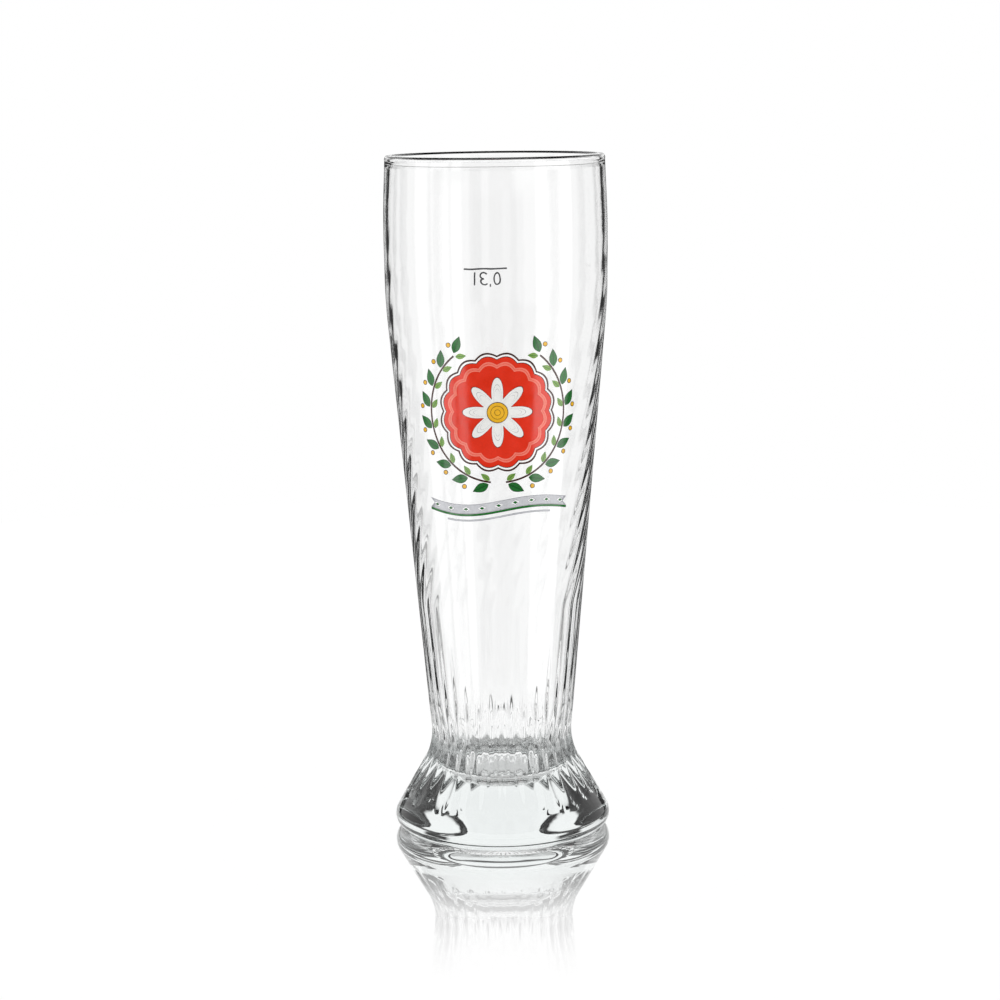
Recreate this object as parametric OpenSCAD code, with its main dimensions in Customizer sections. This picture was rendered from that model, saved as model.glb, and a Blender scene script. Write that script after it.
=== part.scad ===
// Weizen glass with a twisted optic bowl, a fluted solid foot and a fired enamel decoration.
// Millimetres, +Z up, origin on the axis in the plane that the glass stands on.
// The decoration faces -Y and the fill mark is on the far wall.

/* [Bowl] */
// Height from the table to the top of the rim
glass_h = 205; // [180:1:230]
// Radius of the bowl at its shoulder
bowl_r = 33.1; // [29:0.1:37]
// How much wider than its shoulder the bowl is at the belly
belly_out = 0.3; // [0:0.05:1]
// How much narrower than the shoulder the rolled rim is
rim_in = 0.4; // [0:0.05:1]
// Depth of the belly, the widest place, under the rim
belly_drop = 19; // [14:0.5:24]
// Depth of the shoulder under the rim, where the straight taper starts
shoulder_drop = 43; // [36:0.5:50]
// Blend between the two stretches above the shoulder
belly_blend_r = 300; // [150:10:350]
// Blend at the shoulder
shoulder_blend_r = 150; // [60:10:180]
// Radius of the round section of the rolled rim
bead_r = 1.1; // [1:0.05:1.4]
// Wall just under the rolled rim
wall_rim = 1.6; // [1.3:0.1:1.9]
// Wall at the shoulder
wall_shoulder = 1.8; // [1.4:0.1:2.6]

/* [Waist and foot] */
// Height where the taper and the flare of the foot would meet
waist_z = 25.8; // [22:0.1:30]
// Radius where the taper and the flare would meet
waist_r = 20.95; // [18:0.05:24]
// Blend round the waist
waist_blend_r = 18; // [12:1:22]
// Wall at the waist
wall_waist = 3.8; // [3:0.1:5]
// Flare of the foot away from the vertical, in degrees
flare_angle = 30; // [25:1:33]
// Blend round the edge of the foot
foot_edge_r = 4; // [3:0.1:5]
// Width of the flat ring that the glass stands on
bearing_w = 3.9; // [2:0.1:6]
// Depth of the hollow under the foot
punt_h = 1.6; // [0.8:0.1:3]

/* [Cavity] */
// Height of the inner floor above the table
floor_z = 13; // [10:0.5:17]
// How much narrower than at the waist the cavity is at its floor
floor_in = 1.55; // [0.5:0.05:3]
// Blend between the inner wall and the inner floor
floor_blend_r = 7.5; // [4:0.5:9]

/* [Optic ribs] */
// Number of ribs on the inner wall
rib_count = 32; // [16:1:32]
// Height of a rib above the inner wall
rib_h = 0.3; // [0.1:0.05:0.5]
// Height above the inner floor over which the ribs rise from it
rib_rise = 13; // [8:0.5:20]
// Height above the waist up to which the ribs run straight up
rib_straight_h = 46; // [30:1:60]
// Depth under the rim at which the ribs have faded out
rib_end_drop = 13; // [8:0.5:20]
// Turn of the ribs for each 100 mm of height above their straight stretch, in degrees
rib_twist = 96; // [0:1:140]

/* [Foot flutes] */
// Number of flutes round the foot
flute_count = 32; // [24:1:32]
// Depth of a flute
flute_depth = 0.55; // [0.2:0.05:0.9]
// Height above the waist at which the flutes run out
flute_over_waist = 11.2; // [8:0.1:16]
// Height of the smooth band above the blend round the edge of the foot
foot_band_h = 0.8; // [0.2:0.1:3]

/* [Enamel] */
// Thickness of one fired colour
ink_t = 0.08; // [0.04:0.01:0.12]
// Clearance under each colour
ink_gap = 0.05; // [0.02:0.01:0.06]
// Depth of the middle of the decoration under the shoulder
print_drop = 30; // [27:0.5:36]
// Radius of the red rosette, before its scallops
rosette_r = 15.6; // [13:0.1:16]
// Depth of the scallops round the rosette
scallop_h = 1.1; // [0.4:0.1:1.4]
// Width of a drawn line
line_w = 0.55; // [0.3:0.05:0.7]
// How much smaller than the rosette the flower on it is
flower_in = 5.2; // [4:0.1:7]
// Radius of the flower's eye
eye_r = 3.1; // [2:0.1:3.6]
// Distance from the scallops of the rosette to the stem of the wreath
wreath_gap = 4.1; // [3.8:0.1:6]
// Length of a leaf of the wreath
leaf_l = 6; // [4:0.1:6.4]
// Width of a leaf of the wreath
leaf_w = 2.7; // [1.6:0.1:3]
// Radius of a berry
berry_r = 0.75; // [0.4:0.05:0.85]
// Clearance between a berry and the leaf beside it
berry_gap = 0.3; // [0.15:0.05:0.5]
// Distance from the leaves of the wreath to the ribbon under it
ribbon_gap = 1; // [0.5:0.1:2]
// Length of the ribbon
ribbon_l = 44; // [24:1:48]
// Height of the ribbon's band
ribbon_h = 2.8; // [2.4:0.1:3.4]
// How far the ribbon waves up and down
ribbon_rise = 1.3; // [0.4:0.1:1.6]
// Width of the green shade under the ribbon
shade_w = 0.7; // [0.3:0.05:0.9]
// Length of a lozenge cut out of the ribbon
lozenge_l = 2.4; // [1.6:0.1:3]
// Height of a lozenge cut out of the ribbon
lozenge_h = 1.5; // [1:0.1:1.7]
// Clearance round the green lozenge in the middle of each cut
inlay_gap = 0.3; // [0.2:0.05:0.4]
// Distance from the shade to the thin line under it
thread_gap = 1; // [0.5:0.1:1.5]

/* [Fill mark] */
// Depth of the fill line under the rim
fill_drop = 36; // [30:0.5:42]
// Length of the fill line
fill_line_l = 14; // [8:1:20]
// Width of the line and of the strokes of the number
fill_line_w = 0.5; // [0.3:0.05:0.7]
// Height of the number under the line
numeral_h = 4.4; // [3:0.1:6]
// Turn of the mark from the middle of the far wall, in degrees
fill_mark_turn = 6; // [-20:1:20]

/* [Hidden] */
$fn = 96;

// Overrun of a cut past the surface that it opens
cut_over = 2;
// Columns of the skin on each rib and on each flute
rib_columns = 4;
flute_columns = 4;
// Most of a wall that a blend may take
blend_reach_share = 0.98;
// Steps of the blends of the outer wall, from the rolled rim down to the foot
belly_steps = 2;
shoulder_steps = 2;
waist_steps = 5;
foot_edge_steps = 5;
// Rows of the flare between two blends, of the dome under the foot and of the rolled rim
flare_rows = 3;
punt_rows = 1;
bead_rows = 3;
// Rows of the inner wall in the curve of the floor and above it
floor_rows = 4;
wall_rows = 11;

// Arithmetic on outlines: a point is [radius, height]
function unit(v) = v / norm(v);
function flip(list) = [for (i = [len(list) - 1 : -1 : 0]) list[i]];
function between(a, b, rows) = [for (i = [1 : rows - 1]) a + (b - a) * i / rows];

function middle(a, b) = (a + b) / 2;

// Arc of radius r that blends the corner b, or the largest that stays between the points a and c
function blend(a, b, c, r, steps) =
    let (u = unit(a - b),
         w = unit(c - b),
         half = acos(u * w) / 2,
         reach = min(r / tan(half), blend_reach_share * min(norm(a - b), norm(c - b))),
         radius = reach * tan(half),
         centre = b + unit(u + w) * radius / sin(half),
         from = b + u * reach - centre,
         start = atan2(from.y, from.x),
         side = sign(cross(b - a, c - b)),
         turn = side * (180 - 2 * half))
    [for (i = [0 : steps])
        centre + radius * [cos(start + turn * i / steps), sin(start + turn * i / steps)]];

// Heights that are measured from the rim, and what is measured from them
belly_z = glass_h - belly_drop;
shoulder_z = glass_h - shoulder_drop;
fill_z = glass_h - fill_drop;
print_z = shoulder_z - print_drop;
rib_end_z = glass_h - rib_end_drop;
rib_straight_z = waist_z + rib_straight_h;
flute_top_z = waist_z + flute_over_waist;
flute_foot_z = foot_edge_r * (1 + sin(flare_angle)) + foot_band_h;

// Rolled rim: its round section, split into its outer and its inner side
bead_x = bowl_r - rim_in - bead_r;
bead_z = glass_h - bead_r;
neck_angle = acos(wall_rim / 2 / bead_r);
bead_top_angle = 80;
bead_angles = [for (i = [0 : bead_rows])
    -neck_angle + (bead_top_angle + neck_angle) * i / bead_rows];
bead_outer = [for (a = bead_angles) [bead_x + bead_r * cos(a), bead_z + bead_r * sin(a)]];
bead_inner = [for (a = bead_angles) [bead_x - bead_r * cos(a), bead_z + bead_r * sin(a)]];

// Outer outline, from the foot up to the rolled rim
belly_point = [bowl_r + belly_out, belly_z];
shoulder_point = [bowl_r, shoulder_z];
waist_point = [waist_r, waist_z];
foot_point = [waist_r + waist_z * tan(flare_angle), 0];
flute_top_point = waist_point
    + (shoulder_point - waist_point) * (flute_top_z - waist_z) / (shoulder_z - waist_z);
foot_edge = blend([0, 0], foot_point, middle(foot_point, waist_point), foot_edge_r, foot_edge_steps);
waist_curve = blend(middle(foot_point, waist_point), waist_point, flute_top_point,
                    waist_blend_r, waist_steps);
outer_wall = concat(
    foot_edge,
    between(foot_edge[foot_edge_steps], waist_curve[0], flare_rows),
    waist_curve,
    [flute_top_point],
    blend(flute_top_point, shoulder_point, middle(shoulder_point, belly_point),
          shoulder_blend_r, shoulder_steps),
    blend(middle(shoulder_point, belly_point), belly_point, bead_outer[0], belly_blend_r, belly_steps));

// Dome under the foot, from near the axis to the bearing ring
bearing_in_r = foot_edge[0].x - bearing_w;
punt_sphere_r = (pow(bearing_in_r, 2) + pow(punt_h, 2)) / (2 * punt_h);
punt_angle = asin(bearing_in_r / punt_sphere_r);
punt_dome = [for (i = [1 : punt_rows + 1])
    let (a = punt_angle * i / (punt_rows + 1))
    [punt_sphere_r * sin(a), punt_sphere_r * (cos(a) - cos(punt_angle))]];

// Inner outline, from the floor up to the rolled rim
inner_belly = belly_point - [(wall_rim + wall_shoulder) / 2, 0];
inner_shoulder = shoulder_point - [wall_shoulder, 0];
inner_waist = waist_point - [wall_waist, 0];
inner_corner = [inner_waist.x - floor_in, floor_z];
floor_curve = blend([0, floor_z], inner_corner, inner_waist, floor_blend_r, floor_rows);
inner_guide = concat(
    floor_curve,
    blend(inner_waist, inner_shoulder, middle(inner_shoulder, inner_belly),
          shoulder_blend_r, wall_rows),
    blend(middle(inner_shoulder, inner_belly), inner_belly, bead_inner[0], belly_blend_r, wall_rows),
    [bead_inner[0]]);

// Radius of a wall at a height
function wall_table(wall) = [for (p = wall) [p.y, p.x]];
outer_table = wall_table(outer_wall);
inner_table = wall_table(inner_guide);
function outer_r_at(z) = lookup(z, outer_table);
function inner_r_at(z) = lookup(z, inner_table);

// Volume of the cavity up to a height, in millilitres, as a stack of thin discs
function capacity_ml(z, slices = 200) =
    let (step = (z - floor_z) / slices,
         areas = [for (i = [0 : slices - 1]) PI * pow(inner_r_at(floor_z + (i + 0.5) * step), 2)])
    areas * [for (a = areas) step] / 1000;
echo(capacity_to_fill_line_ml = capacity_ml(fill_z), capacity_to_rim_ml = capacity_ml(bead_z));

// Faces of a closed skin over rings of points that all turn anticlockwise, in the order in which
// they follow the outline, with flat ends
function skin_faces(rings, count) = concat(
    [[for (j = [0 : count - 1]) j]],
    [for (k = [0 : rings - 2], j = [0 : count - 1])
        let (a = k * count + j, b = k * count + (j + 1) % count)
        [a, a + count, b]],
    [for (k = [0 : rings - 2], j = [0 : count - 1])
        let (a = k * count + j, b = k * count + (j + 1) % count)
        [b, a + count, b + count]],
    [[for (j = [count - 1 : -1 : 0]) (rings - 1) * count + j]]);

function ease(t) = let (c = min(max(t, 0), 1)) c * c * (3 - 2 * c);

// Flutes: how deep they are at a height, and across one flute
function flute_depth_at(z) =
    let (t = (z - flute_foot_z) / (flute_top_z - flute_foot_z))
    t > 0 && t < 1 ? flute_depth * pow(sin(180 * t), 0.6) : 0;
flute_shares = [for (j = [0 : flute_columns - 1]) let (t = 2 * j / flute_columns - 1) 1 - t * t];
function outer_ring(p) =
    [for (i = [0 : flute_count - 1], j = [0 : flute_columns - 1])
        let (a = 360 * (i + j / flute_columns) / flute_count,
             r = p.x - (p.y > 0 ? flute_depth_at(p.y) * flute_shares[j] : 0))
        [r * cos(a), r * sin(a), p.y]];

// Optic ribs: how high they stand, and how far they have turned, at a height
function rib_h_at(z) = rib_h
    * ease((z - floor_z) / rib_rise)
    * (1 - ease((z - shoulder_z) / (rib_end_z - shoulder_z)));
function rib_turn_at(z) = rib_twist / 100 * max(z - rib_straight_z, 0);
rib_shares = [for (j = [0 : rib_columns - 1]) (1 + cos(360 * j / rib_columns)) / 2];
function inner_ring(p) =
    [for (i = [0 : rib_count - 1], j = [0 : rib_columns - 1])
        let (a = 360 * (i + j / rib_columns) / rib_count + rib_turn_at(p.y),
             r = p.x - rib_h_at(p.y) * rib_shares[j])
        [r * cos(a), r * sin(a), p.y]];

module skin(rings) {
    polyhedron([for (ring = rings) each ring], skin_faces(len(rings), len(rings[0])), convexity = 6);
}

module cavity() {
    low = floor_curve[floor_rows].y;
    rows = concat(
        floor_curve,
        [for (i = [1 : wall_rows])
            let (z = low + (rib_end_z - low) * i / wall_rows)
            [inner_r_at(z), z]],
        bead_inner,
        [[bead_inner[bead_rows].x, glass_h + cut_over]]);
    skin([for (p = rows) inner_ring(p)]);
}

module glass() {
    color([0.93, 0.95, 0.94, 0.45]) difference() {
        skin([for (p = concat(punt_dome, outer_wall, bead_outer)) outer_ring(p)]);
        cavity();
    }
}

// Places in the decoration, measured from its middle
leaf_lean = 32;
wreath_r = rosette_r + scallop_h + wreath_gap;
ribbon_y = -wreath_r - leaf_l * sin(leaf_lean) - ribbon_gap - ribbon_rise - ribbon_h / 2;
shade_low = -ribbon_h / 2 - ink_gap - shade_w;
thread_low = shade_low - thread_gap - line_w;

// Enamel: a thin shell over the outer wall, one level for each overprint
print_low_z = print_z + ribbon_y + thread_low - ribbon_rise - line_w;
print_top_z = print_z + wreath_r + leaf_l;
ink_step = ink_t + ink_gap;
function shell_outline(z_low, z_top, level) =
    let (inside = concat(
             [[outer_r_at(z_low), z_low]],
             [for (p = outer_wall) if (p.y > z_low && p.y < z_top) p],
             [[outer_r_at(z_top), z_top]]),
         lift = ink_gap + level * ink_step)
    concat([for (p = inside) p + [lift, 0]], [for (p = flip(inside)) p + [lift + ink_t, 0]]);

// Shapes of the decoration are drawn flat, as [arc, height] from its middle, and wrapped round
// the wall so that they keep their size along the glass
function wrapped(p, z_middle) =
    let (z = z_middle + p.y, r = outer_r_at(z))
    [r * sin(p.x / r * 180 / PI), z];

module drawn(shapes, z_middle) {
    for (shape = shapes) {
        polygon([for (p = shape) wrapped(p, z_middle)]);
    }
}

// Prints the 2D children on the wall, on the side that faces -Y
module printed(z_low, z_top, level) {
    intersection() {
        rotate_extrude() polygon(shell_outline(z_low, z_top, level));
        rotate([90, 0, 0]) linear_extrude(height = 2 * bowl_r) children();
    }
}

module decoration(level) {
    printed(print_low_z, print_top_z, level) children();
}

// Flat shapes
function polar(r, a) = r * [cos(a), sin(a)];
function oval(centre, rx, ry, n = 32) = [for (i = [0 : n - 1])
    let (a = 360 * i / n) centre + [rx * cos(a), ry * sin(a)]];
function disc(centre, r, n = 24) = oval(centre, r, r, n);
function band(centre, rx, ry, from, to, w, n = 24) = concat(
    [for (i = [0 : n]) let (a = from + (to - from) * i / n)
        centre + [(rx + w / 2) * cos(a), (ry + w / 2) * sin(a)]],
    [for (i = [n : -1 : 0]) let (a = from + (to - from) * i / n)
        centre + [(rx - w / 2) * cos(a), (ry - w / 2) * sin(a)]]);
function bar(low, top) = [low, [top.x, low.y], top, [low.x, top.y]];

// Leaf from a point on the stem, pointing at an angle, with its widest place nearer its foot
leaf_steps = 6;
leaf_foot_share = 0.12;
function leaf(from, angle, l, w) =
    let (along = polar(1, angle),
         across = polar(1, angle + 90),
         half = [for (i = [0 : leaf_steps])
             let (t = i / leaf_steps)
             [l * (leaf_foot_share + (1 - leaf_foot_share) * t), w / 2 * sin(180 * pow(t, 0.8))]])
    concat([for (q = half) from + along * q.x + across * q.y],
           [for (i = [leaf_steps - 1 : -1 : 1]) from + along * half[i].x - across * half[i].y]);

// Rosette
scallops = 16;
scallop_steps = 6;
function rosette(r) = [for (i = [0 : scallops * scallop_steps - 1])
    let (a = 360 * i / (scallops * scallop_steps))
    polar(r + scallop_h * abs(sin(a * scallops / 2)), a)];

// Flower with pointed petals
petals = 8;
petal_steps = 12;
petal_waist_share = 0.42;
function flower(r, turn = 0) = [for (i = [0 : petals * petal_steps - 1])
    let (a = 360 * i / (petals * petal_steps),
         t = abs(cos(a * petals / 2)))
    polar(r * (petal_waist_share + (1 - petal_waist_share) * pow(t, 1.4)), a + turn)];

// Wreath: places of the leaves along each stem, measured round the middle of the decoration
wreath_low_angle = -84;
wreath_top_angle = 52;
leaf_pairs = 8;
inner_leaf_share = 0.62;
berry_place_share = 0.38;
function leaf_angle(i) = wreath_low_angle + (wreath_top_angle - wreath_low_angle) * i / leaf_pairs;
function sided(points, side) = [for (p = points) [side * p.x, p.y]];
function wreath_berries(side) = [for (i = [1 : leaf_pairs])
    let (a = leaf_angle(i),
         along = a + 90 - leaf_lean,
         place = polar(wreath_r + line_w / 2, a) + polar(leaf_l * berry_place_share, along)
             + polar(leaf_w / 2 + berry_gap + berry_r, along - 90))
    sided(disc(place, berry_r, 16), side)];
function wreath_leaves(side, out) = [for (i = [0 : leaf_pairs])
    let (a = leaf_angle(i),
         from = polar(wreath_r + out * line_w / 2, a),
         l = out > 0 ? leaf_l : leaf_l * inner_leaf_share,
         w = out > 0 ? leaf_w : leaf_w * inner_leaf_share)
    sided(leaf(from, a + 90 - out * leaf_lean, l, w), side)];

// Ribbon: bands that follow one wave, each between two heights over the wave's middle line, with
// ends that are straight or notched like a swallow's tail
wave_rows = 32;
lozenges = 9;
thread_share = 0.72;
function wave_point(t) = [ribbon_l * t, ribbon_y + ribbon_rise * sin(360 * t)];
function wave_band(low, top, length_share, notch) =
    let (ts = [for (i = [0 : wave_rows]) length_share * (i / wave_rows - 0.5)],
         middle = (low + top) / 2)
    concat([for (t = ts) wave_point(t) + [0, top]],
           [wave_point(ts[wave_rows]) + [-notch, middle]],
           [for (t = flip(ts)) wave_point(t) + [0, low]],
           [wave_point(ts[0]) + [notch, middle]]);
function lozenge_row(l, h) = [for (i = [0 : lozenges - 1])
    let (p = wave_point((i + 0.5) / lozenges - 0.5))
    [p + [-l / 2, 0], p + [0, h / 2], p + [l / 2, 0], p + [0, -h / 2]]];

module enamel_silver() {
    color([0.80, 0.81, 0.83]) decoration(0) {
        difference() {
            drawn([wave_band(-ribbon_h / 2, ribbon_h / 2, 1, ribbon_h / 2)], print_z);
            drawn(lozenge_row(lozenge_l, lozenge_h), print_z);
        }
        drawn([wave_band(thread_low, thread_low + line_w, thread_share, 0)], print_z);
    }
}

module enamel_red() {
    color([0.85, 0.20, 0.10]) decoration(0) drawn([rosette(rosette_r)], print_z);
}

module enamel_dark_green() {
    inlay_share = 1 - 2 * inlay_gap / lozenge_h;
    color([0.16, 0.42, 0.20]) decoration(0) {
        drawn([for (side = [-1, 1]) each wreath_leaves(side, 1)], print_z);
        drawn([wave_band(shade_low, shade_low + shade_w, 1, 0)], print_z);
        drawn(lozenge_row(lozenge_l * inlay_share, lozenge_h * inlay_share), print_z);
    }
}

module enamel_light_green() {
    color([0.55, 0.67, 0.38]) decoration(0)
        drawn([for (side = [-1, 1]) each wreath_leaves(side, -1)], print_z);
}

module enamel_brown() {
    clear = line_w;
    color([0.30, 0.18, 0.12]) decoration(0) {
        difference() {
            drawn([rosette(rosette_r + clear + line_w)], print_z);
            drawn([rosette(rosette_r + clear)], print_z);
        }
        drawn([for (side = [-1, 1])
            sided(band([0, 0], wreath_r, wreath_r, wreath_low_angle, wreath_top_angle, line_w), side)],
            print_z);
    }
}

module enamel_coral() {
    ring_r = rosette_r - 3 * line_w;
    color([0.93, 0.46, 0.38]) decoration(1) difference() {
        drawn([rosette(ring_r)], print_z);
        drawn([rosette(ring_r - 2 * line_w)], print_z);
    }
}

module enamel_white() {
    color([0.97, 0.97, 0.95]) decoration(1) drawn([flower(rosette_r - flower_in)], print_z);
}

module enamel_gold() {
    color([0.91, 0.71, 0.22]) {
        decoration(2) drawn([disc([0, 0], eye_r)], print_z);
        decoration(0) drawn([for (side = [-1, 1]) each wreath_berries(side)], print_z);
    }
}

// Fill line with its number, read from behind the glass: places and widths of the figures, as
// shares of their height
zero_place_share = 0.85;
zero_width_share = 0.29;
comma_place_share = 0.33;
three_place_share = 0.12;
three_bowl_share = 0.3;
litre_place_share = 0.8;
module fill_mark() {
    w = fill_line_w;
    h = numeral_h;
    top = -2 * w;
    zero_x = -h * zero_place_share;
    comma_x = -h * comma_place_share;
    three_x = h * three_place_share;
    litre_x = h * litre_place_share;
    bowl_rx = h * three_bowl_share - w / 2;
    bowl_ry = h / 4 - w / 4;
    number = [
        band([three_x, top - w / 2 - bowl_ry], bowl_rx, bowl_ry, 150, -90, w),
        band([three_x, top - h + w / 2 + bowl_ry], bowl_rx, bowl_ry, 90, -150, w),
        bar([comma_x - w / 2, top - h - w], [comma_x + w / 2, top - h + w]),
        bar([litre_x - w / 2, top - h], [litre_x + w / 2, top])];
    color([0.45, 0.46, 0.48]) rotate(180 + fill_mark_turn)
        printed(fill_z - 2 * numeral_h, fill_z + 2 * fill_line_w, 0) {
            drawn([bar([-fill_line_l / 2, -w / 2], [fill_line_l / 2, w / 2])], fill_z);
            drawn(number, fill_z);
            difference() {
                drawn([oval([zero_x, top - h / 2], h * zero_width_share, h / 2)], fill_z);
                drawn([oval([zero_x, top - h / 2], h * zero_width_share - w, h / 2 - w)], fill_z);
            }
        }
}

glass();
enamel_silver();
enamel_red();
enamel_dark_green();
enamel_light_green();
enamel_brown();
enamel_coral();
enamel_white();
enamel_gold();
fill_mark();
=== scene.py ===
# Weizen glass: an add-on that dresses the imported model, in metres, in the model's own frame
import math

import bmesh
import bpy
from bpy.props import (FloatProperty, FloatVectorProperty, IntProperty, PointerProperty)
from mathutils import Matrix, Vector


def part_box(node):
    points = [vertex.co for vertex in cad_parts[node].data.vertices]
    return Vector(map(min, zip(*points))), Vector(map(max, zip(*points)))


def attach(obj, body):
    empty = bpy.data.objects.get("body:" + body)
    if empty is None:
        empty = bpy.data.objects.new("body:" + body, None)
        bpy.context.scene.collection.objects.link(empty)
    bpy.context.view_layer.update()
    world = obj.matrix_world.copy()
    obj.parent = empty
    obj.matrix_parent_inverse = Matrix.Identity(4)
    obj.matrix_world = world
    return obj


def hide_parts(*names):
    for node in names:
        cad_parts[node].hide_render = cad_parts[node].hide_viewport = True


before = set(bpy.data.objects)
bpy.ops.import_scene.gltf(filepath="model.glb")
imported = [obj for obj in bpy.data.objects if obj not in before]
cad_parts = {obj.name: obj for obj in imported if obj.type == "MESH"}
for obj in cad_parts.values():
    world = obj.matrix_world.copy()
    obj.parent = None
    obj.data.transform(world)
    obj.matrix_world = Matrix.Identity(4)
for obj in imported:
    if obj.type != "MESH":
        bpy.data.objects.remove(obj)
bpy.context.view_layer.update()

bl_info = {
    "name": "Weizen Glass",
    "version": (1, 0, 0),
    "blender": (4, 5, 0),
    "location": "View3D > Sidebar > Weizen Glass",
    "description": "Wheat-beer glass with twisted optic, fluted foot and fired enamel",
    "category": "Add Mesh",
}

BODY = "root"
GLASS_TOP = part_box("glass")[1]


# Sizes and colours

def length(name, description, default):
    return FloatProperty(name=name, description=description, default=default,
                         min=0.0, precision=5, subtype="DISTANCE", unit="LENGTH")


def share(name, description, default):
    return FloatProperty(name=name, description=description, default=default, min=0.0)


def linear(hex_colour):
    """An sRGB hex colour as the linear colour that shaders take."""
    parts = [int(hex_colour[i:i + 2], 16) / 255 for i in (1, 3, 5)]
    return tuple(c / 12.92 if c <= 0.04045 else ((c + 0.055) / 1.055) ** 2.4 for c in parts)


def colour(name, description, hex_colour):
    return FloatVectorProperty(name=name, description=description, subtype="COLOR",
                               default=linear(hex_colour), min=0.0, max=1.0)


def degrees(name, description, default):
    return FloatProperty(name=name, description=description, default=math.radians(default),
                         subtype="ANGLE", unit="ROTATION")


class GlassSizes(bpy.types.PropertyGroup):
    height: length("Height", "Height of the glass to the top of its rim", GLASS_TOP.z)
    bowl_r: length("Bowl radius", "Radius of the bowl at its shoulder", 0.0331)
    belly_out: length("Belly", "How much wider than its shoulder the bowl is at the belly", 0.0003)
    rim_in: length("Rim", "How much narrower than the shoulder the rim is", 0.0004)
    belly_drop: length("Belly depth", "Depth of the belly under the rim", 0.019)
    shoulder_drop: length("Shoulder depth", "Depth of the shoulder under the rim", 0.043)
    belly_blend_r: length("Belly blend", "Blend between the stretches above the shoulder", 0.3)
    shoulder_blend_r: length("Shoulder blend", "Blend at the shoulder", 0.15)
    bead_r: length("Bead", "Half the thickness of the rim", 0.0009)
    bead_rise: length("Bead rise", "Height of the rim's rounded top", 0.0013)
    wall_rim: length("Wall at the rim", "Wall just under the rim", 0.0017)
    wall_shoulder: length("Wall at the shoulder", "Wall at the shoulder", 0.0013)
    waist_z: length("Waist height", "Height where the taper and the flare would meet", 0.0258)
    waist_r: length("Waist radius", "Radius where the taper and the flare would meet", 0.02095)
    waist_blend_r: length("Waist blend", "Blend round the waist", 0.018)
    wall_waist: length("Wall at the waist", "Wall at the waist", 0.0038)
    flare_angle: degrees("Flare", "Flare of the foot off the vertical", 30)
    foot_edge_r: length("Foot edge", "Blend round the edge of the foot", 0.004)
    bearing_w: length("Bearing ring", "Width of the ring that the glass stands on", 0.0039)
    punt_h: length("Punt", "Depth of the hollow under the foot", 0.0004)
    floor_z: length("Inner floor", "Height of the inner floor above the table", 0.013)
    floor_in: length("Floor inset", "How much narrower the cavity is at its floor", 0.00155)
    floor_blend_r: length("Floor blend", "Blend between the inner wall and floor", 0.0075)


class OpticSizes(bpy.types.PropertyGroup):
    rib_count: IntProperty(name="Ribs", description="Number of ribs on the inner wall", default=32)
    rib_h: length("Rib height", "Height of a rib round the waist", 0.0003)
    rib_fade_z: length("Rib fade start", "Height over the waist where ribs start to fade", 0.012)
    rib_fade_h: length("Rib fade", "Height over which the ribs lose two thirds", 0.011)
    rib_tail: share("Rib tail", "Share of their height that the turned ribs keep", 0.22)
    rib_rise: length("Rib rise", "Height over which the ribs rise from the floor", 0.013)
    rib_straight_h: length("Straight stretch", "Height above the waist of the straight ribs", 0.046)
    rib_end_drop: length("Rib end", "Depth under the rim at which the ribs have faded", 0.013)
    rib_twist: degrees("Twist", "Turn of the ribs for each metre of height", 960)
    flute_count: IntProperty(name="Flutes", description="Number of flutes on the foot", default=32)
    flute_depth: length("Flute depth", "Depth of a flute", 0.0008)
    flute_over_waist: length("Flute top", "Height above the waist where flutes run out", 0.0112)
    foot_band_h: length("Foot band", "Height of the smooth band above the foot's edge", 0.0038)
    flute_reach: length("Flute reach", "How unevenly far down the flutes' points reach", 0.003)
    unevenness: length("Unevenness", "How far the blown inner wall wanders", 0.00004)


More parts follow.
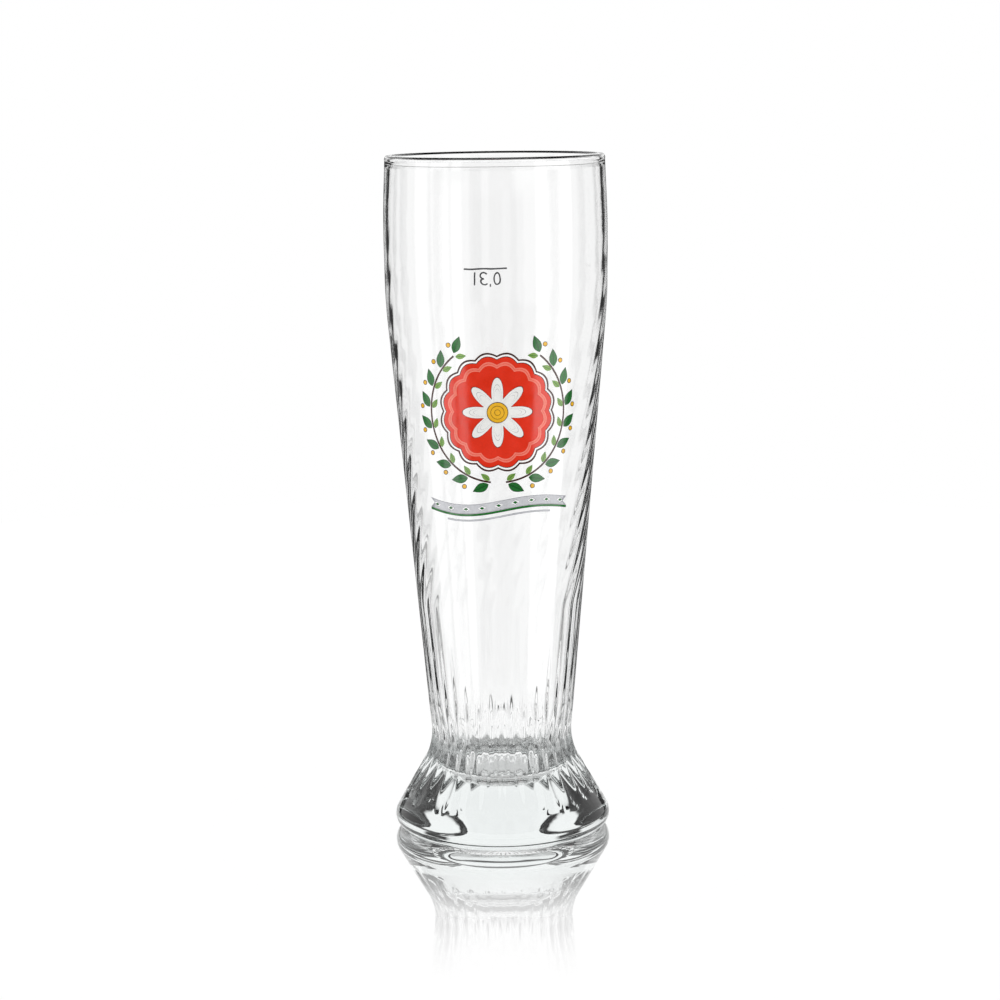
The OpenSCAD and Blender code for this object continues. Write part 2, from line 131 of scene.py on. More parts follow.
class EnamelSizes(bpy.types.PropertyGroup):
    film: length("Film", "Thickness of one fired colour", 0.00008)
    film_gap: length("Clearance", "Clearance between colours that lie side by side", 0.00005)
    sunk: length("Sunk", "How deep a colour lies in the skin of the glass", 0.00002)
    print_drop: length("Depth", "Depth of the decoration's middle under the shoulder", 0.03)
    rosette_r: length("Rosette", "Radius of the red rosette, before its scallops", 0.0156)
    scallop_h: length("Scallops", "Depth of the scallops round the rosette", 0.0011)
    line_w: length("Line", "Width of a drawn line", 0.00055)
    flower_in: length("Flower inset", "How much smaller than the rosette the flower is", 0.0052)
    eye_r: length("Eye", "Radius of the flower's eye", 0.0031)
    wreath_gap: length("Wreath gap", "Distance from the scallops to the stem", 0.0041)
    leaf_l: length("Leaf length", "Length of a leaf of the wreath", 0.006)
    leaf_w: length("Leaf width", "Width of a leaf of the wreath", 0.0027)
    berry_r: length("Berry", "Radius of a berry", 0.00075)
    berry_gap: length("Berry gap", "Clearance between a berry and its leaf", 0.0003)
    ribbon_gap: length("Ribbon gap", "Distance from the leaves to the ribbon", 0.001)
    ribbon_l: length("Ribbon length", "Length of the ribbon", 0.044)
    ribbon_h: length("Ribbon height", "Height of the ribbon's band", 0.0028)
    ribbon_rise: length("Ribbon wave", "How far the ribbon waves up and down", 0.0013)
    shade_w: length("Shade", "Width of the green shade under the ribbon", 0.0007)
    lozenge_l: length("Lozenge length", "Length of a lozenge cut out of the ribbon", 0.0024)
    lozenge_h: length("Lozenge height", "Height of a lozenge cut out of the ribbon", 0.0015)
    inlay_gap: length("Inlay gap", "Clearance round the lozenge in each cut", 0.0003)
    thread_gap: length("Thread gap", "Distance from the shade to the thin line", 0.001)
    fill_drop: length("Fill line depth", "Depth of the fill line under the rim", 0.036)
    fill_line_l: length("Fill line length", "Length of the fill line", 0.014)
    fill_line_w: length("Fill line width", "Width of the mark's strokes", 0.0005)
    numeral_h: length("Numeral height", "Height of the number under the line", 0.0044)
    fill_mark_turn: degrees("Mark turn", "Turn of the mark from the back", 6)


class EnamelColours(bpy.types.PropertyGroup):
    vermilion: colour("Vermilion", "Ground of the rosette", "#DE2C0C")
    # The coral is a painted highlight: a lighter red that stands for glare on the red enamel,
    # printed as a ring
    coral: colour("Coral", "Overprinted ring", "#EE7E6C")
    white: colour("White", "Flower", "#EDEDEA")
    pencil: colour("Pencil grey", "Fine lines on the flower", "#9A9A9C")
    gold: colour("Gold", "Flower's eye and berries", "#E9B224")
    dark_green: colour("Dark green", "Leaves and the ribbon's shade", "#1F6E2B")
    deep_green: colour("Deep green", "Veins of the leaves", "#0C3F18")
    light_green: colour("Light green", "Inner leaves", "#7FA24C")
    brown: colour("Brown", "Stems and key lines", "#3E1F16")
    silver: colour("Silver", "Ribbon", "#C6C7CB")
    # Painted shade: a darker grey for the edges of the ribbon, as the shade on a bevel that the
    # flat film doesn't have
    silver_painted_bevel_shade: colour("Silver edge", "Darker edge of the ribbon", "#9C9DA3")
    mark: colour("Mark grey", "Fill mark", "#44464C")


class Studio(bpy.types.PropertyGroup):
    lens: FloatProperty(name="Lens", description="Focal length in millimetres", default=89.5)
    distance: length("Distance", "Distance of the camera from the axis", 0.742)
    eye_height: length("Eye height", "Height of the camera above the table", 0.228)
    axis_offset: length("Axis offset", "How far the camera stands right of the axis", 0.0019)
    pitch: degrees("Pitch", "How far the camera looks down", 9.7)
    roll: degrees("Roll", "How far the camera is turned clockwise", 0.7)
    floor_r: length("Floor", "Radius of the floor", 0.6)
    mirror: share("Mirror", "Share of the mirror image beside the foot", 0.92)
    mirror_near: length("Mirror start", "Distance from the axis where the mirror starts to fade",
                        0.04)
    mirror_far: length("Mirror end", "Distance from the axis where the mirror has faded", 0.14)


# Small tools

# Places of a Mix node's sockets, because it gives one name to several
VALUE_A, VALUE_B = 2, 3
COLOUR_A, COLOUR_B, COLOUR_RESULT = 6, 7, 2


def add(tree, kind, inputs=(), **settings):
    """Adds a node with its settings. Inputs are a list, or a dict by name, of values, sockets or
    nodes, which stand for their first output."""
    made = tree.nodes.new(kind)
    for name, value in settings.items():
        setattr(made, name, value)
    pairs = inputs.items() if isinstance(inputs, dict) else enumerate(inputs)
    for key, value in pairs:
        if isinstance(value, bpy.types.Node):
            value = value.outputs[0]
        if isinstance(value, bpy.types.NodeSocket):
            tree.links.new(value, made.inputs[key])
        else:
            made.inputs[key].default_value = value
    return made


def new_material(name):
    made = bpy.data.materials.new(name)
    made.use_nodes = True
    made.node_tree.nodes.clear()
    return made


def new_object(name, bm):
    """An object at the origin from a finished bmesh."""
    mesh = bpy.data.meshes.new(name)
    bm.to_mesh(mesh)
    bm.free()
    made = bpy.data.objects.new(name, mesh)
    bpy.context.scene.collection.objects.link(made)
    return made


def shaped(source, tree, values):
    """Runs a Geometry Nodes tree on an object, with its inputs by name, and keeps the result as
    the object's own plain mesh."""
    modifier = source.modifiers.new(tree.name, "NODES")
    modifier.node_group = tree
    for socket in tree.interface.items_tree:
        if socket.item_type == "SOCKET" and socket.in_out == "INPUT" and socket.name in values:
            modifier[socket.identifier] = values[socket.name]
    graph = bpy.context.evaluated_depsgraph_get()
    result = bpy.data.meshes.new_from_object(source.evaluated_get(graph), depsgraph=graph)
    source.modifiers.remove(modifier)
    old, source.data = source.data, result
    bpy.data.meshes.remove(old)
    return source


def new_geometry_tree(name, sockets):
    """A Geometry Nodes tree with named inputs, each with its kind of socket."""
    tree = bpy.data.node_groups.new(name, "GeometryNodeTree")
    tree.interface.new_socket("Geometry", in_out="INPUT", socket_type="NodeSocketGeometry")
    for label, kind in sockets:
        tree.interface.new_socket(label, in_out="INPUT", socket_type=kind)
    tree.interface.new_socket("Geometry", in_out="OUTPUT", socket_type="NodeSocketGeometry")
    return tree, add(tree, "NodeGroupInput").outputs


def finish_tree(tree, geometry, material):
    """Ends a tree in real, smooth geometry with its material."""
    real = add(tree, "GeometryNodeRealizeInstances", [geometry])
    smooth = add(tree, "GeometryNodeSetShadeSmooth", [real])
    painted = add(tree, "GeometryNodeSetMaterial", {"Geometry": smooth, "Material": material})
    add(tree, "NodeGroupOutput", [painted])


# Outline of the glass: points are (radius, height)

BLEND_REACH = 0.98
# Rows of points along its curves and its straight stretches
BEAD_ROWS = 12
PUNT_ROWS = 16
TIGHT_CURVE_ROWS = 14
WIDE_CURVE_ROWS = 6
INNER_BELLY_ROWS = 8
BEARING_ROWS = 4
FLARE_ROWS = 26
TAPER_ROWS = 36
OVER_SHOULDER_ROWS = 3
NECK_ROWS = 4
FLOOR_ROWS = 8
CAVITY_ROWS = 74
INNER_NECK_ROWS = 5
# Height from which the outer side is a wall
WALL_FROM = 0.02


def blend(a, b, c, radius, steps):
    """Arc that blends the corner b, kept between the points a and c."""
    u, w = (a - b).normalized(), (c - b).normalized()
    half = u.angle(w) / 2
    reach = min(radius / math.tan(half), BLEND_REACH * min((a - b).length, (c - b).length))
    radius = reach * math.tan(half)
    centre = b + (u + w).normalized() * radius / math.sin(half)
    start = b + u * reach - centre
    first = math.atan2(start.y, start.x)
    turn = math.copysign(math.pi - 2 * half, (b - a).cross(c - b))
    return [centre + radius * Vector((math.cos(first + turn * i / steps),
                                      math.sin(first + turn * i / steps)))
            for i in range(steps + 1)]


def chained(first, *rest):
    """One line of points from a first curve and from pairs of (straight rows, next curve)."""
    points = list(first)
    for rows, curve in rest:
        points += [points[-1].lerp(curve[0], i / rows) for i in range(1, rows)] + curve
    return points


class Outline:
    """The glass's section: its outer side from the axis up to the rim, and its inner side from
    the axis up to the rim."""

    def __init__(self, s):
        bead = Vector((s.bowl_r - s.rim_in - s.bead_r, s.height - s.bead_rise))
        neck = math.acos(s.wall_rim / 2 / s.bead_r)
        angles = [-neck + (math.pi / 2 + neck) * i / BEAD_ROWS for i in range(BEAD_ROWS + 1)]
        rim = [Vector((s.bead_r * math.cos(a),
                       (s.bead_rise if a > 0 else s.bead_r) * math.sin(a))) for a in angles]
        bead_out = [bead + p for p in rim]
        bead_in = [bead + Vector((-p.x, p.y)) for p in rim]
        belly = Vector((s.bowl_r + s.belly_out, s.height - s.belly_drop))
        shoulder = Vector((s.bowl_r, s.height - s.shoulder_drop))
        waist = Vector((s.waist_r, s.waist_z))
        foot = Vector((s.waist_r + s.waist_z * math.tan(s.flare_angle), 0))
        flare, upper = foot.lerp(waist, 0.5), shoulder.lerp(belly, 0.5)

        edge = blend(Vector((0, 0)), foot, flare, s.foot_edge_r, TIGHT_CURVE_ROWS)
        waist_curve = blend(flare, waist, shoulder, s.waist_blend_r, TIGHT_CURVE_ROWS)
        shoulder_curve = blend(waist, shoulder, upper, s.shoulder_blend_r, WIDE_CURVE_ROWS)
        belly_curve = blend(upper, belly, bead_out[0], s.belly_blend_r, WIDE_CURVE_ROWS)
        bearing_in = edge[0].x - s.bearing_w
        punt = [Vector((bearing_in * t, s.punt_h * (1 + math.cos(math.pi * t)) / 2))
                for t in (i / PUNT_ROWS for i in range(PUNT_ROWS + 1))]
        self.outer = chained(punt, (BEARING_ROWS, edge), (FLARE_ROWS, waist_curve),
                             (TAPER_ROWS, shoulder_curve), (OVER_SHOULDER_ROWS, belly_curve),
                             (NECK_ROWS, bead_out))

        in_belly = belly - Vector(((s.wall_rim + s.wall_shoulder) / 2, 0))
        in_shoulder = shoulder - Vector((s.wall_shoulder, 0))
        in_upper = in_shoulder.lerp(in_belly, 0.5)
        in_waist = waist - Vector((s.wall_waist, 0))
        corner = Vector((in_waist.x - s.floor_in, s.floor_z))
        centre = Vector((0, s.floor_z))
        floor_curve = blend(centre, corner, in_waist, s.floor_blend_r, TIGHT_CURVE_ROWS)
        shoulder_curve = blend(in_waist, in_shoulder, in_upper, s.shoulder_blend_r,
                               WIDE_CURVE_ROWS)
        belly_curve = blend(in_upper, in_belly, bead_in[0], s.belly_blend_r, INNER_BELLY_ROWS)
        self.inner = chained([centre], (FLOOR_ROWS, floor_curve), (CAVITY_ROWS, shoulder_curve),
                             (NECK_ROWS, belly_curve), (INNER_NECK_ROWS, bead_in[:-1]))

    def outer_r(self, z):
        """Radius of the outer wall at a height."""
        wall = [p for p in self.outer if p.y > WALL_FROM]
        for low, top in zip(wall, wall[1:]):
            if low.y <= z <= top.y:
                return low.x + (top.x - low.x) * (z - low.y) / (top.y - low.y)
        raise ValueError(f"the wall has no place at the height {z}")


# The glass

GLASS_COLUMNS = 320
# How square a flute's trough is along its length: 0 is a square end, 1 a sine wave
FLUTE_SWELL = 0.35
# Roughness of the most worn skin, and the stretch of the noise over which it wears
WORN_ROUGHNESS = 0.02
WEAR_RANGE = (0.35, 0.75)
# Light that the glass lets through into its shadow
SHADOW_TINT = (0.93, 0.94, 0.94, 1)


def revolved_glass(outline):
    """The glass before its ribs and flutes: rings of points with a pole at each end. Each point
    keeps its angle and whether it lies on the inner wall."""
    bm = bmesh.new()
    angle_layer = bm.verts.layers.float.new("column_angle")
    inner_layer = bm.verts.layers.float.new("inner_wall")
    rows = [(p, 0.0) for p in outline.outer[1:]] + [(p, 1.0) for p in reversed(outline.inner[1:])]
    rings = []
    for point, inner in rows:
        ring = []
        for column in range(GLASS_COLUMNS):
            a = math.tau * column / GLASS_COLUMNS
            vert = bm.verts.new((point.x * math.cos(a), point.x * math.sin(a), point.y))
            vert[angle_layer] = a
            vert[inner_layer] = inner
            ring.append(vert)
        rings.append(ring)
    base = bm.verts.new((0, 0, outline.outer[0].y))
    floor = bm.verts.new((0, 0, outline.inner[0].y))
    floor[inner_layer] = 1.0
    for j in range(GLASS_COLUMNS):
        k = (j + 1) % GLASS_COLUMNS
        bm.faces.new((rings[0][k], rings[0][j], base))
        bm.faces.new((rings[-1][j], rings[-1][k], floor))
        for low, top in zip(rings, rings[1:]):
            bm.faces.new((low[j], low[k], top[k], top[j]))
    bmesh.ops.recalc_face_normals(bm, faces=bm.faces)
    return new_object("glass_body", bm)


def optic_tree():
    """Presses flutes into the outer wall and raises turned ribs on the inner one."""
    kinds = {"Rib Count": "NodeSocketInt", "Flute Count": "NodeSocketInt",
             "Material": "NodeSocketMaterial"}
    names = ["Rib Count", "Rib Height", "Fade Start", "Fade Height", "Tail", "Floor Height",
             "Rib Full Height", "Rib End Height", "Rib Straight Height", "Rim Height", "Twist",
             "Flute Count", "Flute Depth", "Flute Unevenness", "Flute Foot Height",
             "Flute Top Height", "Unevenness", "Material"]
    tree, given = new_geometry_tree(
        "pressed_optic", [(n, kinds.get(n, "NodeSocketFloat")) for n in names])
    math_node = "ShaderNodeMath"
    place = add(tree, "GeometryNodeInputPosition")
    xyz = add(tree, "ShaderNodeSeparateXYZ", [place])
    z = xyz.outputs["Z"]
    angle = add(tree, "GeometryNodeInputNamedAttribute", ["column_angle"], data_type="FLOAT")
    inner = add(tree, "GeometryNodeInputNamedAttribute", ["inner_wall"], data_type="FLOAT")
    flat = add(tree, "ShaderNodeCombineXYZ", [xyz.outputs["X"], xyz.outputs["Y"], 0.0])
    radius = add(tree, "ShaderNodeVectorMath", [flat], operation="LENGTH").outputs["Value"]

    # The ribs' turn is measured from the rim, where both walls share their columns
    rim_above = add(tree, math_node, [given["Rim Height"], given["Rib Straight Height"]],
                    operation="SUBTRACT")
    rim_turn = add(tree, math_node, [rim_above, given["Twist"]], operation="MULTIPLY")
    above = add(tree, math_node, [z, given["Rib Straight Height"]], operation="SUBTRACT")
    above = add(tree, math_node, [above, 0.0], operation="MAXIMUM")
    turn = add(tree, math_node, [above, given["Twist"]], operation="MULTIPLY")
    turn = add(tree, math_node, [turn, rim_turn], operation="SUBTRACT")
    turn = add(tree, math_node, [turn, inner], operation="MULTIPLY")

    rise = add(tree, "ShaderNodeMapRange",
               [z, given["Floor Height"], given["Rib Full Height"], 0.0, 1.0],
               interpolation_type="SMOOTHSTEP")
    fade = add(tree, "ShaderNodeMapRange",
               [z, given["Rib Straight Height"], given["Rib End Height"], 1.0, 0.0])
    rib_phase = add(tree, math_node, [angle, rim_turn], operation="SUBTRACT")
    rib_phase = add(tree, math_node, [rib_phase, given["Rib Count"]], operation="MULTIPLY")
    rib_wave = add(tree, math_node, [rib_phase], operation="COSINE")
    rib_share = add(tree, math_node, [rib_wave, 0.5, 0.5], operation="MULTIPLY_ADD")
    faded = add(tree, math_node, [given["Fade Start"], z], operation="SUBTRACT")
    faded = add(tree, math_node, [faded, 0.0], operation="MINIMUM")
    faded = add(tree, math_node, [faded, given["Fade Height"]], operation="DIVIDE")
    faded = add(tree, math_node, [faded], operation="EXPONENT")
    faded = add(tree, "ShaderNodeMapRange", [faded, 0.0, 1.0, given["Tail"], 1.0])
    rib = add(tree, math_node, [rise, fade], operation="MULTIPLY")
    rib = add(tree, math_node, [rib, faded], operation="MULTIPLY")
    rib = add(tree, math_node, [rib, rib_share], operation="MULTIPLY")
    rib = add(tree, math_node, [rib, given["Rib Height"]], operation="MULTIPLY")
    rib = add(tree, math_node, [rib, inner], operation="MULTIPLY")

    # A flute is a shallow trough with sharp edges, deepest half way along and pointed at its
    # foot. No two reach quite as far down
    turns = add(tree, math_node, [angle, 1 / math.tau], operation="MULTIPLY")
    turns = add(tree, math_node, [turns, given["Flute Count"]], operation="MULTIPLY")
    number = add(tree, math_node, [turns], operation="FLOOR")
    reach = add(tree, "ShaderNodeTexWhiteNoise", {"W": number}, noise_dimensions="1D").outputs[0]
    flute_foot = add(tree, math_node,
                     [reach, given["Flute Unevenness"], given["Flute Foot Height"]],
                     operation="MULTIPLY_ADD")
    along = add(tree, "ShaderNodeMapRange",
                [z, flute_foot, given["Flute Top Height"], 0.0, math.pi])
    swell = add(tree, math_node, [along], operation="SINE")
    swell = add(tree, math_node, [swell, 0.0], operation="MAXIMUM")
    swell = add(tree, math_node, [swell, FLUTE_SWELL], operation="POWER")
    across = add(tree, math_node, [add(tree, math_node, [turns], operation="FRACT"), 2.0, -1.0],
                 operation="MULTIPLY_ADD")
    across = add(tree, math_node, [across, across], operation="MULTIPLY")
    flute = add(tree, math_node, [swell, across], operation="SUBTRACT")
    flute = add(tree, math_node, [flute, 0.0], operation="MAXIMUM")
    flute = add(tree, math_node, [flute, given["Flute Depth"]], operation="MULTIPLY")
    outer = add(tree, math_node, [1.0, inner], operation="SUBTRACT")
    flute = add(tree, math_node, [flute, outer], operation="MULTIPLY")

    # The inner wall is blown, so it wanders a little
    wander = add(tree, "ShaderNodeTexNoise",
                 {"Vector": place, "W": 3.0, "Scale": 90.0, "Detail": 1.0}, noise_dimensions="4D")
    wander = add(tree, math_node, [wander, 0.5], operation="SUBTRACT")
    wander = add(tree, math_node, [wander, given["Unevenness"]], operation="MULTIPLY")
    wander = add(tree, math_node, [wander, inner], operation="MULTIPLY")
    wander = add(tree, math_node, [wander, rise], operation="MULTIPLY")

    cut = add(tree, math_node, [flute, rib], operation="ADD")
    new_r = add(tree, math_node, [radius, cut], operation="SUBTRACT")
    new_r = add(tree, math_node, [new_r, wander], operation="ADD")
    new_angle = add(tree, math_node, [angle, turn], operation="ADD")
    cosine = add(tree, math_node, [new_angle], operation="COSINE")
    sine = add(tree, math_node, [new_angle], operation="SINE")
    x = add(tree, math_node, [new_r, cosine], operation="MULTIPLY")
    y = add(tree, math_node, [new_r, sine], operation="MULTIPLY")
    new_place = add(tree, "ShaderNodeCombineXYZ", [x, y, z])
    moved = add(tree, "GeometryNodeSetPosition",
                {"Geometry": given["Geometry"], "Position": new_place})
    finish_tree(tree, moved, given["Material"])
    return tree


def soda_lime_glass():
    """Clear pressed and fire-polished soda-lime glass: bright, smooth, and faintly grey-green
    where it is thick."""
    made = new_material("soda_lime_glass_fire_polished")
    tree = made.node_tree
    place = add(tree, "ShaderNodeTexCoord").outputs["Object"]
    # Ripples of 7 mm, as pressing leaves them, and worn patches of 17 mm
    ripple = add(tree, "ShaderNodeTexNoise", {"Vector": place, "Scale": 140.0, "Detail": 2.0})
    bump = add(tree, "ShaderNodeBump", {"Strength": 0.04, "Distance": 0.0005, "Height": ripple})
    wear = add(tree, "ShaderNodeTexNoise", {"Vector": place, "Scale": 60.0, "Detail": 3.0})
    rough = add(tree, "ShaderNodeMapRange", [wear, *WEAR_RANGE, 0.0, WORN_ROUGHNESS])
    glass = add(tree, "ShaderNodeBsdfPrincipled",
                {"Base Color": (*linear("#FFFFFF"), 1), "Roughness": rough, "IOR": 1.52,
                 "Transmission Weight": 1.0, "Normal": bump})
    clear = add(tree, "ShaderNodeBsdfTransparent", [SHADOW_TINT])
    path = add(tree, "ShaderNodeLightPath")
    mix = add(tree, "ShaderNodeMixShader", [path.outputs["Is Shadow Ray"], glass, clear])
    depth = add(tree, "ShaderNodeVolumeAbsorption",
                {"Color": (*linear("#EEF4F3"), 1), "Density": 12.0})
    add(tree, "ShaderNodeOutputMaterial", {"Surface": mix, "Volume": depth})
    return made


class WEIZEN_OT_glass(bpy.types.Operator):
    """Builds the glass: bowl with rolled rim, ribbed inside, waist and fluted foot"""
    bl_idname = "weizen.glass"
    bl_label = "Glass"

    def execute(self, context):
        s, o = context.scene.glass_sizes, context.scene.optic_sizes
        outline = Outline(s)
        body = revolved_glass(outline)
        shaped(body, optic_tree(), {
            "Rib Count": o.rib_count, "Rib Height": o.rib_h, "Floor Height": s.floor_z,
            "Fade Start": s.waist_z + o.rib_fade_z, "Fade Height": o.rib_fade_h,
            "Tail": o.rib_tail,
            "Rib Full Height": s.floor_z + o.rib_rise,
            "Rib End Height": s.height - o.rib_end_drop,
            "Rib Straight Height": s.waist_z + o.rib_straight_h, "Rim Height": s.height,
            "Twist": o.rib_twist, "Flute Count": o.flute_count, "Flute Depth": o.flute_depth,
            "Flute Foot Height": s.foot_edge_r * (1 + math.sin(s.flare_angle)) + o.foot_band_h,
            "Flute Unevenness": o.flute_reach,
            "Flute Top Height": s.waist_z + o.flute_over_waist, "Unevenness": o.unevenness,
            "Material": soda_lime_glass()})
        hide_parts("glass")
        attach(body, BODY)
        return {"FINISHED"}


# Enamel

# The decoration and the fill mark are drawn flat and then wrapped round the wall. In the flat
# drawing x is the arc along the wall and z the height, both from the middle, and -Y is outwards
SCALLOPS = 16
PETALS = 8
PETAL_WAIST = 0.42
PETAL_POINT = 1.4
LEAF_PAIRS = 8
LEAF_STEPS = 12
# Of a leaf: where its blade starts, the exponent that moves its widest place to its foot, and the
# size of an inner leaf and the place of a berry, as shares of its length
LEAF_FOOT = 0.12
LEAF_BELLY = 0.8
INNER_LEAF = 0.62
BERRY_PLACE = 0.38
WREATH_LOW = math.radians(-84)
WREATH_TOP = math.radians(52)
LEAF_LEAN = math.radians(32)
LOZENGES = 9
THREAD_SHARE = 0.72
# How far the coral ring lies in from the red edge and how wide it is, in widths of a line
CORAL_INSET = 3
CORAL_BAND = 2
WELD = 0.000002


class Decoration:
    """Places in the decoration, measured from its middle, and the height of that middle."""

    def __init__(self, glass, e):
        self.height = glass.height - glass.shoulder_drop - e.print_drop
        self.wreath_r = e.rosette_r + e.scallop_h + e.wreath_gap
        self.ribbon_z = -(self.wreath_r + e.leaf_l * math.sin(LEAF_LEAN) + e.ribbon_gap
                          + e.ribbon_rise + e.ribbon_h / 2)
        self.shade_low = -e.ribbon_h / 2 - e.film_gap - e.shade_w
        self.thread_low = self.shade_low - e.thread_gap - e.line_w
        self.e = e

    def rosette(self, r, a):
        """Radius of the scalloped rosette at an angle."""
        return r + self.e.scallop_h * abs(math.sin(a * SCALLOPS / 2))

    def flower(self, a):
        """Radius of the flower at an angle."""
        petal = abs(math.cos(a * PETALS / 2)) ** PETAL_POINT
        return (self.e.rosette_r - self.e.flower_in) * (PETAL_WAIST + (1 - PETAL_WAIST) * petal)

    def wave(self, t):
        """Middle line of the ribbon, from -0.5 to 0.5 of its length."""
        return Vector((self.e.ribbon_l * t,
                       self.ribbon_z + self.e.ribbon_rise * math.sin(math.tau * t)))


def polar(r, a):
    return Vector((r * math.cos(a), r * math.sin(a)))


class Drawing:
    """A flat drawing on one level of the print. Each point keeps its place along its shape, its
    distance from the shape's outline and its distance from the shape's axis, which the enamels
    use for veins, key lines and shades."""

    def __init__(self):
        self.bm = bmesh.new()
        self.along = self.bm.verts.layers.float.new("along")
        self.edge = self.bm.verts.layers.float.new("edge")
        self.across = self.bm.verts.layers.float.new("across")
        self.level = 0.0

    def patch(self, rows):
        """Faces between rows of (place, along, edge, across) with as many points each."""
        made = []
        for row in rows:
            verts = []
            for place, along, edge, across in row:
                vert = self.bm.verts.new((place.x, -self.level, place.y))
                vert[self.along] = along
                vert[self.edge] = edge
                vert[self.across] = across
                verts.append(vert)
            made.append(verts)
        for low, top in zip(made, made[1:]):
            for a, b, c, d in zip(low, low[1:], top[1:], top):
                self.bm.faces.new((a, b, c, d))

    def loop(self, inner, outer, columns, rows, first=0.0, last=math.tau):
        """A band between two curves, given as places by angle. The inner curve may be a point."""
        filled = (inner(first) - inner((first + last) / 2)).length < WELD
        grid = []
        for i in range(rows + 1):
            row = []
            for j in range(columns + 1):
                a = first + (last - first) * j / columns
                low, top = inner(a), outer(a)
                width = (top - low).length
                t = i / rows
                row.append((low.lerp(top, t), j / columns,
                            width * (1 - t if filled else min(t, 1 - t)), 0.0))
            grid.append(row)
        self.patch(grid)

    def disc(self, centre, radius, columns=24, rows=3):
        self.loop(lambda a: centre, lambda a: centre + polar(radius, a), columns, rows)

    def oval_band(self, centre, rx, ry, width, first=0.0, last=math.tau):
        """A stroke along an oval arc."""
        def curve(grow):
            return lambda a: centre + Vector(((rx + grow) * math.cos(a), (ry + grow) * math.sin(a)))
        self.loop(curve(-width / 2), curve(width / 2), 28, 2, first, last)

    def bar(self, low, top, columns=2):
        rows = []
        for z in (low.y, (low.y + top.y) / 2, top.y):
            edge = min(z - low.y, top.y - z)
            rows.append([(Vector((low.x + (top.x - low.x) * j / columns, z)), j / columns,
                          edge, 0.0) for j in range(columns + 1)])
        self.patch(rows)

    def leaf(self, leaf_l, leaf_w):
        """A leaf that points along X, with its widest place nearer its foot."""
        rows = []
        for i in range(LEAF_STEPS + 1):
            t = i / LEAF_STEPS
            x = leaf_l * (LEAF_FOOT + (1 - LEAF_FOOT) * t)
            half = leaf_w / 2 * max(math.sin(math.pi * t ** LEAF_BELLY), 0.0)
            rows.append([(Vector((x, half * s)), t, half * (1 - abs(s)), half * s)
                         for s in (-1, -0.5, 0, 0.5, 1)])
        self.patch(rows)

    def finished(self, name):
        """The drawing as an object, welded, with its faces turned outwards."""
        bm = self.bm
        bmesh.ops.remove_doubles(bm, verts=bm.verts, dist=WELD)
        bmesh.ops.dissolve_degenerate(bm, edges=bm.edges, dist=WELD)
        bm.normal_update()
        bmesh.ops.reverse_faces(bm, faces=[f for f in bm.faces if f.normal.y > 0])
        return new_object(name, bm)


def wreath_tree():
    """Sets a flat leaf or berry along the stem of the wreath, and its mirror image."""
    kinds = {"First": "NodeSocketInt", "Count": "NodeSocketInt"}
    names = ["First", "Count", "Low Angle", "Step Angle", "Stem Radius", "Lean"]
    tree, given = new_geometry_tree(
        "wreath", [(n, kinds.get(n, "NodeSocketFloat")) for n in names])
    math_node = "ShaderNodeMath"
    number = add(tree, math_node, [add(tree, "GeometryNodeInputIndex"), given["First"]],
                 operation="ADD")
    angle = add(tree, math_node, [number, given["Step Angle"], given["Low Angle"]],
                operation="MULTIPLY_ADD")
    x = add(tree, math_node, [add(tree, math_node, [angle], operation="COSINE"),
                              given["Stem Radius"]], operation="MULTIPLY")
    z = add(tree, math_node, [add(tree, math_node, [angle], operation="SINE"),
                              given["Stem Radius"]], operation="MULTIPLY")
    places = add(tree, "ShaderNodeCombineXYZ", [x, 0.0, z])
    points = add(tree, "GeometryNodePoints", {"Count": given["Count"], "Position": places})
    way = add(tree, math_node, [angle, given["Lean"]], operation="ADD")
    way = add(tree, math_node, [way, -1.0], operation="MULTIPLY")
    turned = add(tree, "ShaderNodeCombineXYZ", [0.0, way, 0.0])
    leaves = add(tree, "GeometryNodeInstanceOnPoints",
                 {"Points": points, "Instance": given["Geometry"], "Rotation": turned})
    right = add(tree, "GeometryNodeRealizeInstances", [leaves])
    left = add(tree, "GeometryNodeTransform", {"Geometry": right, "Scale": (-1, 1, 1)})
    left = add(tree, "GeometryNodeFlipFaces", [left])
    both = add(tree, "GeometryNodeJoinGeometry", [right])
    tree.links.new(left.outputs[0], both.inputs[0])
    add(tree, "NodeGroupOutput", [both])
    return tree


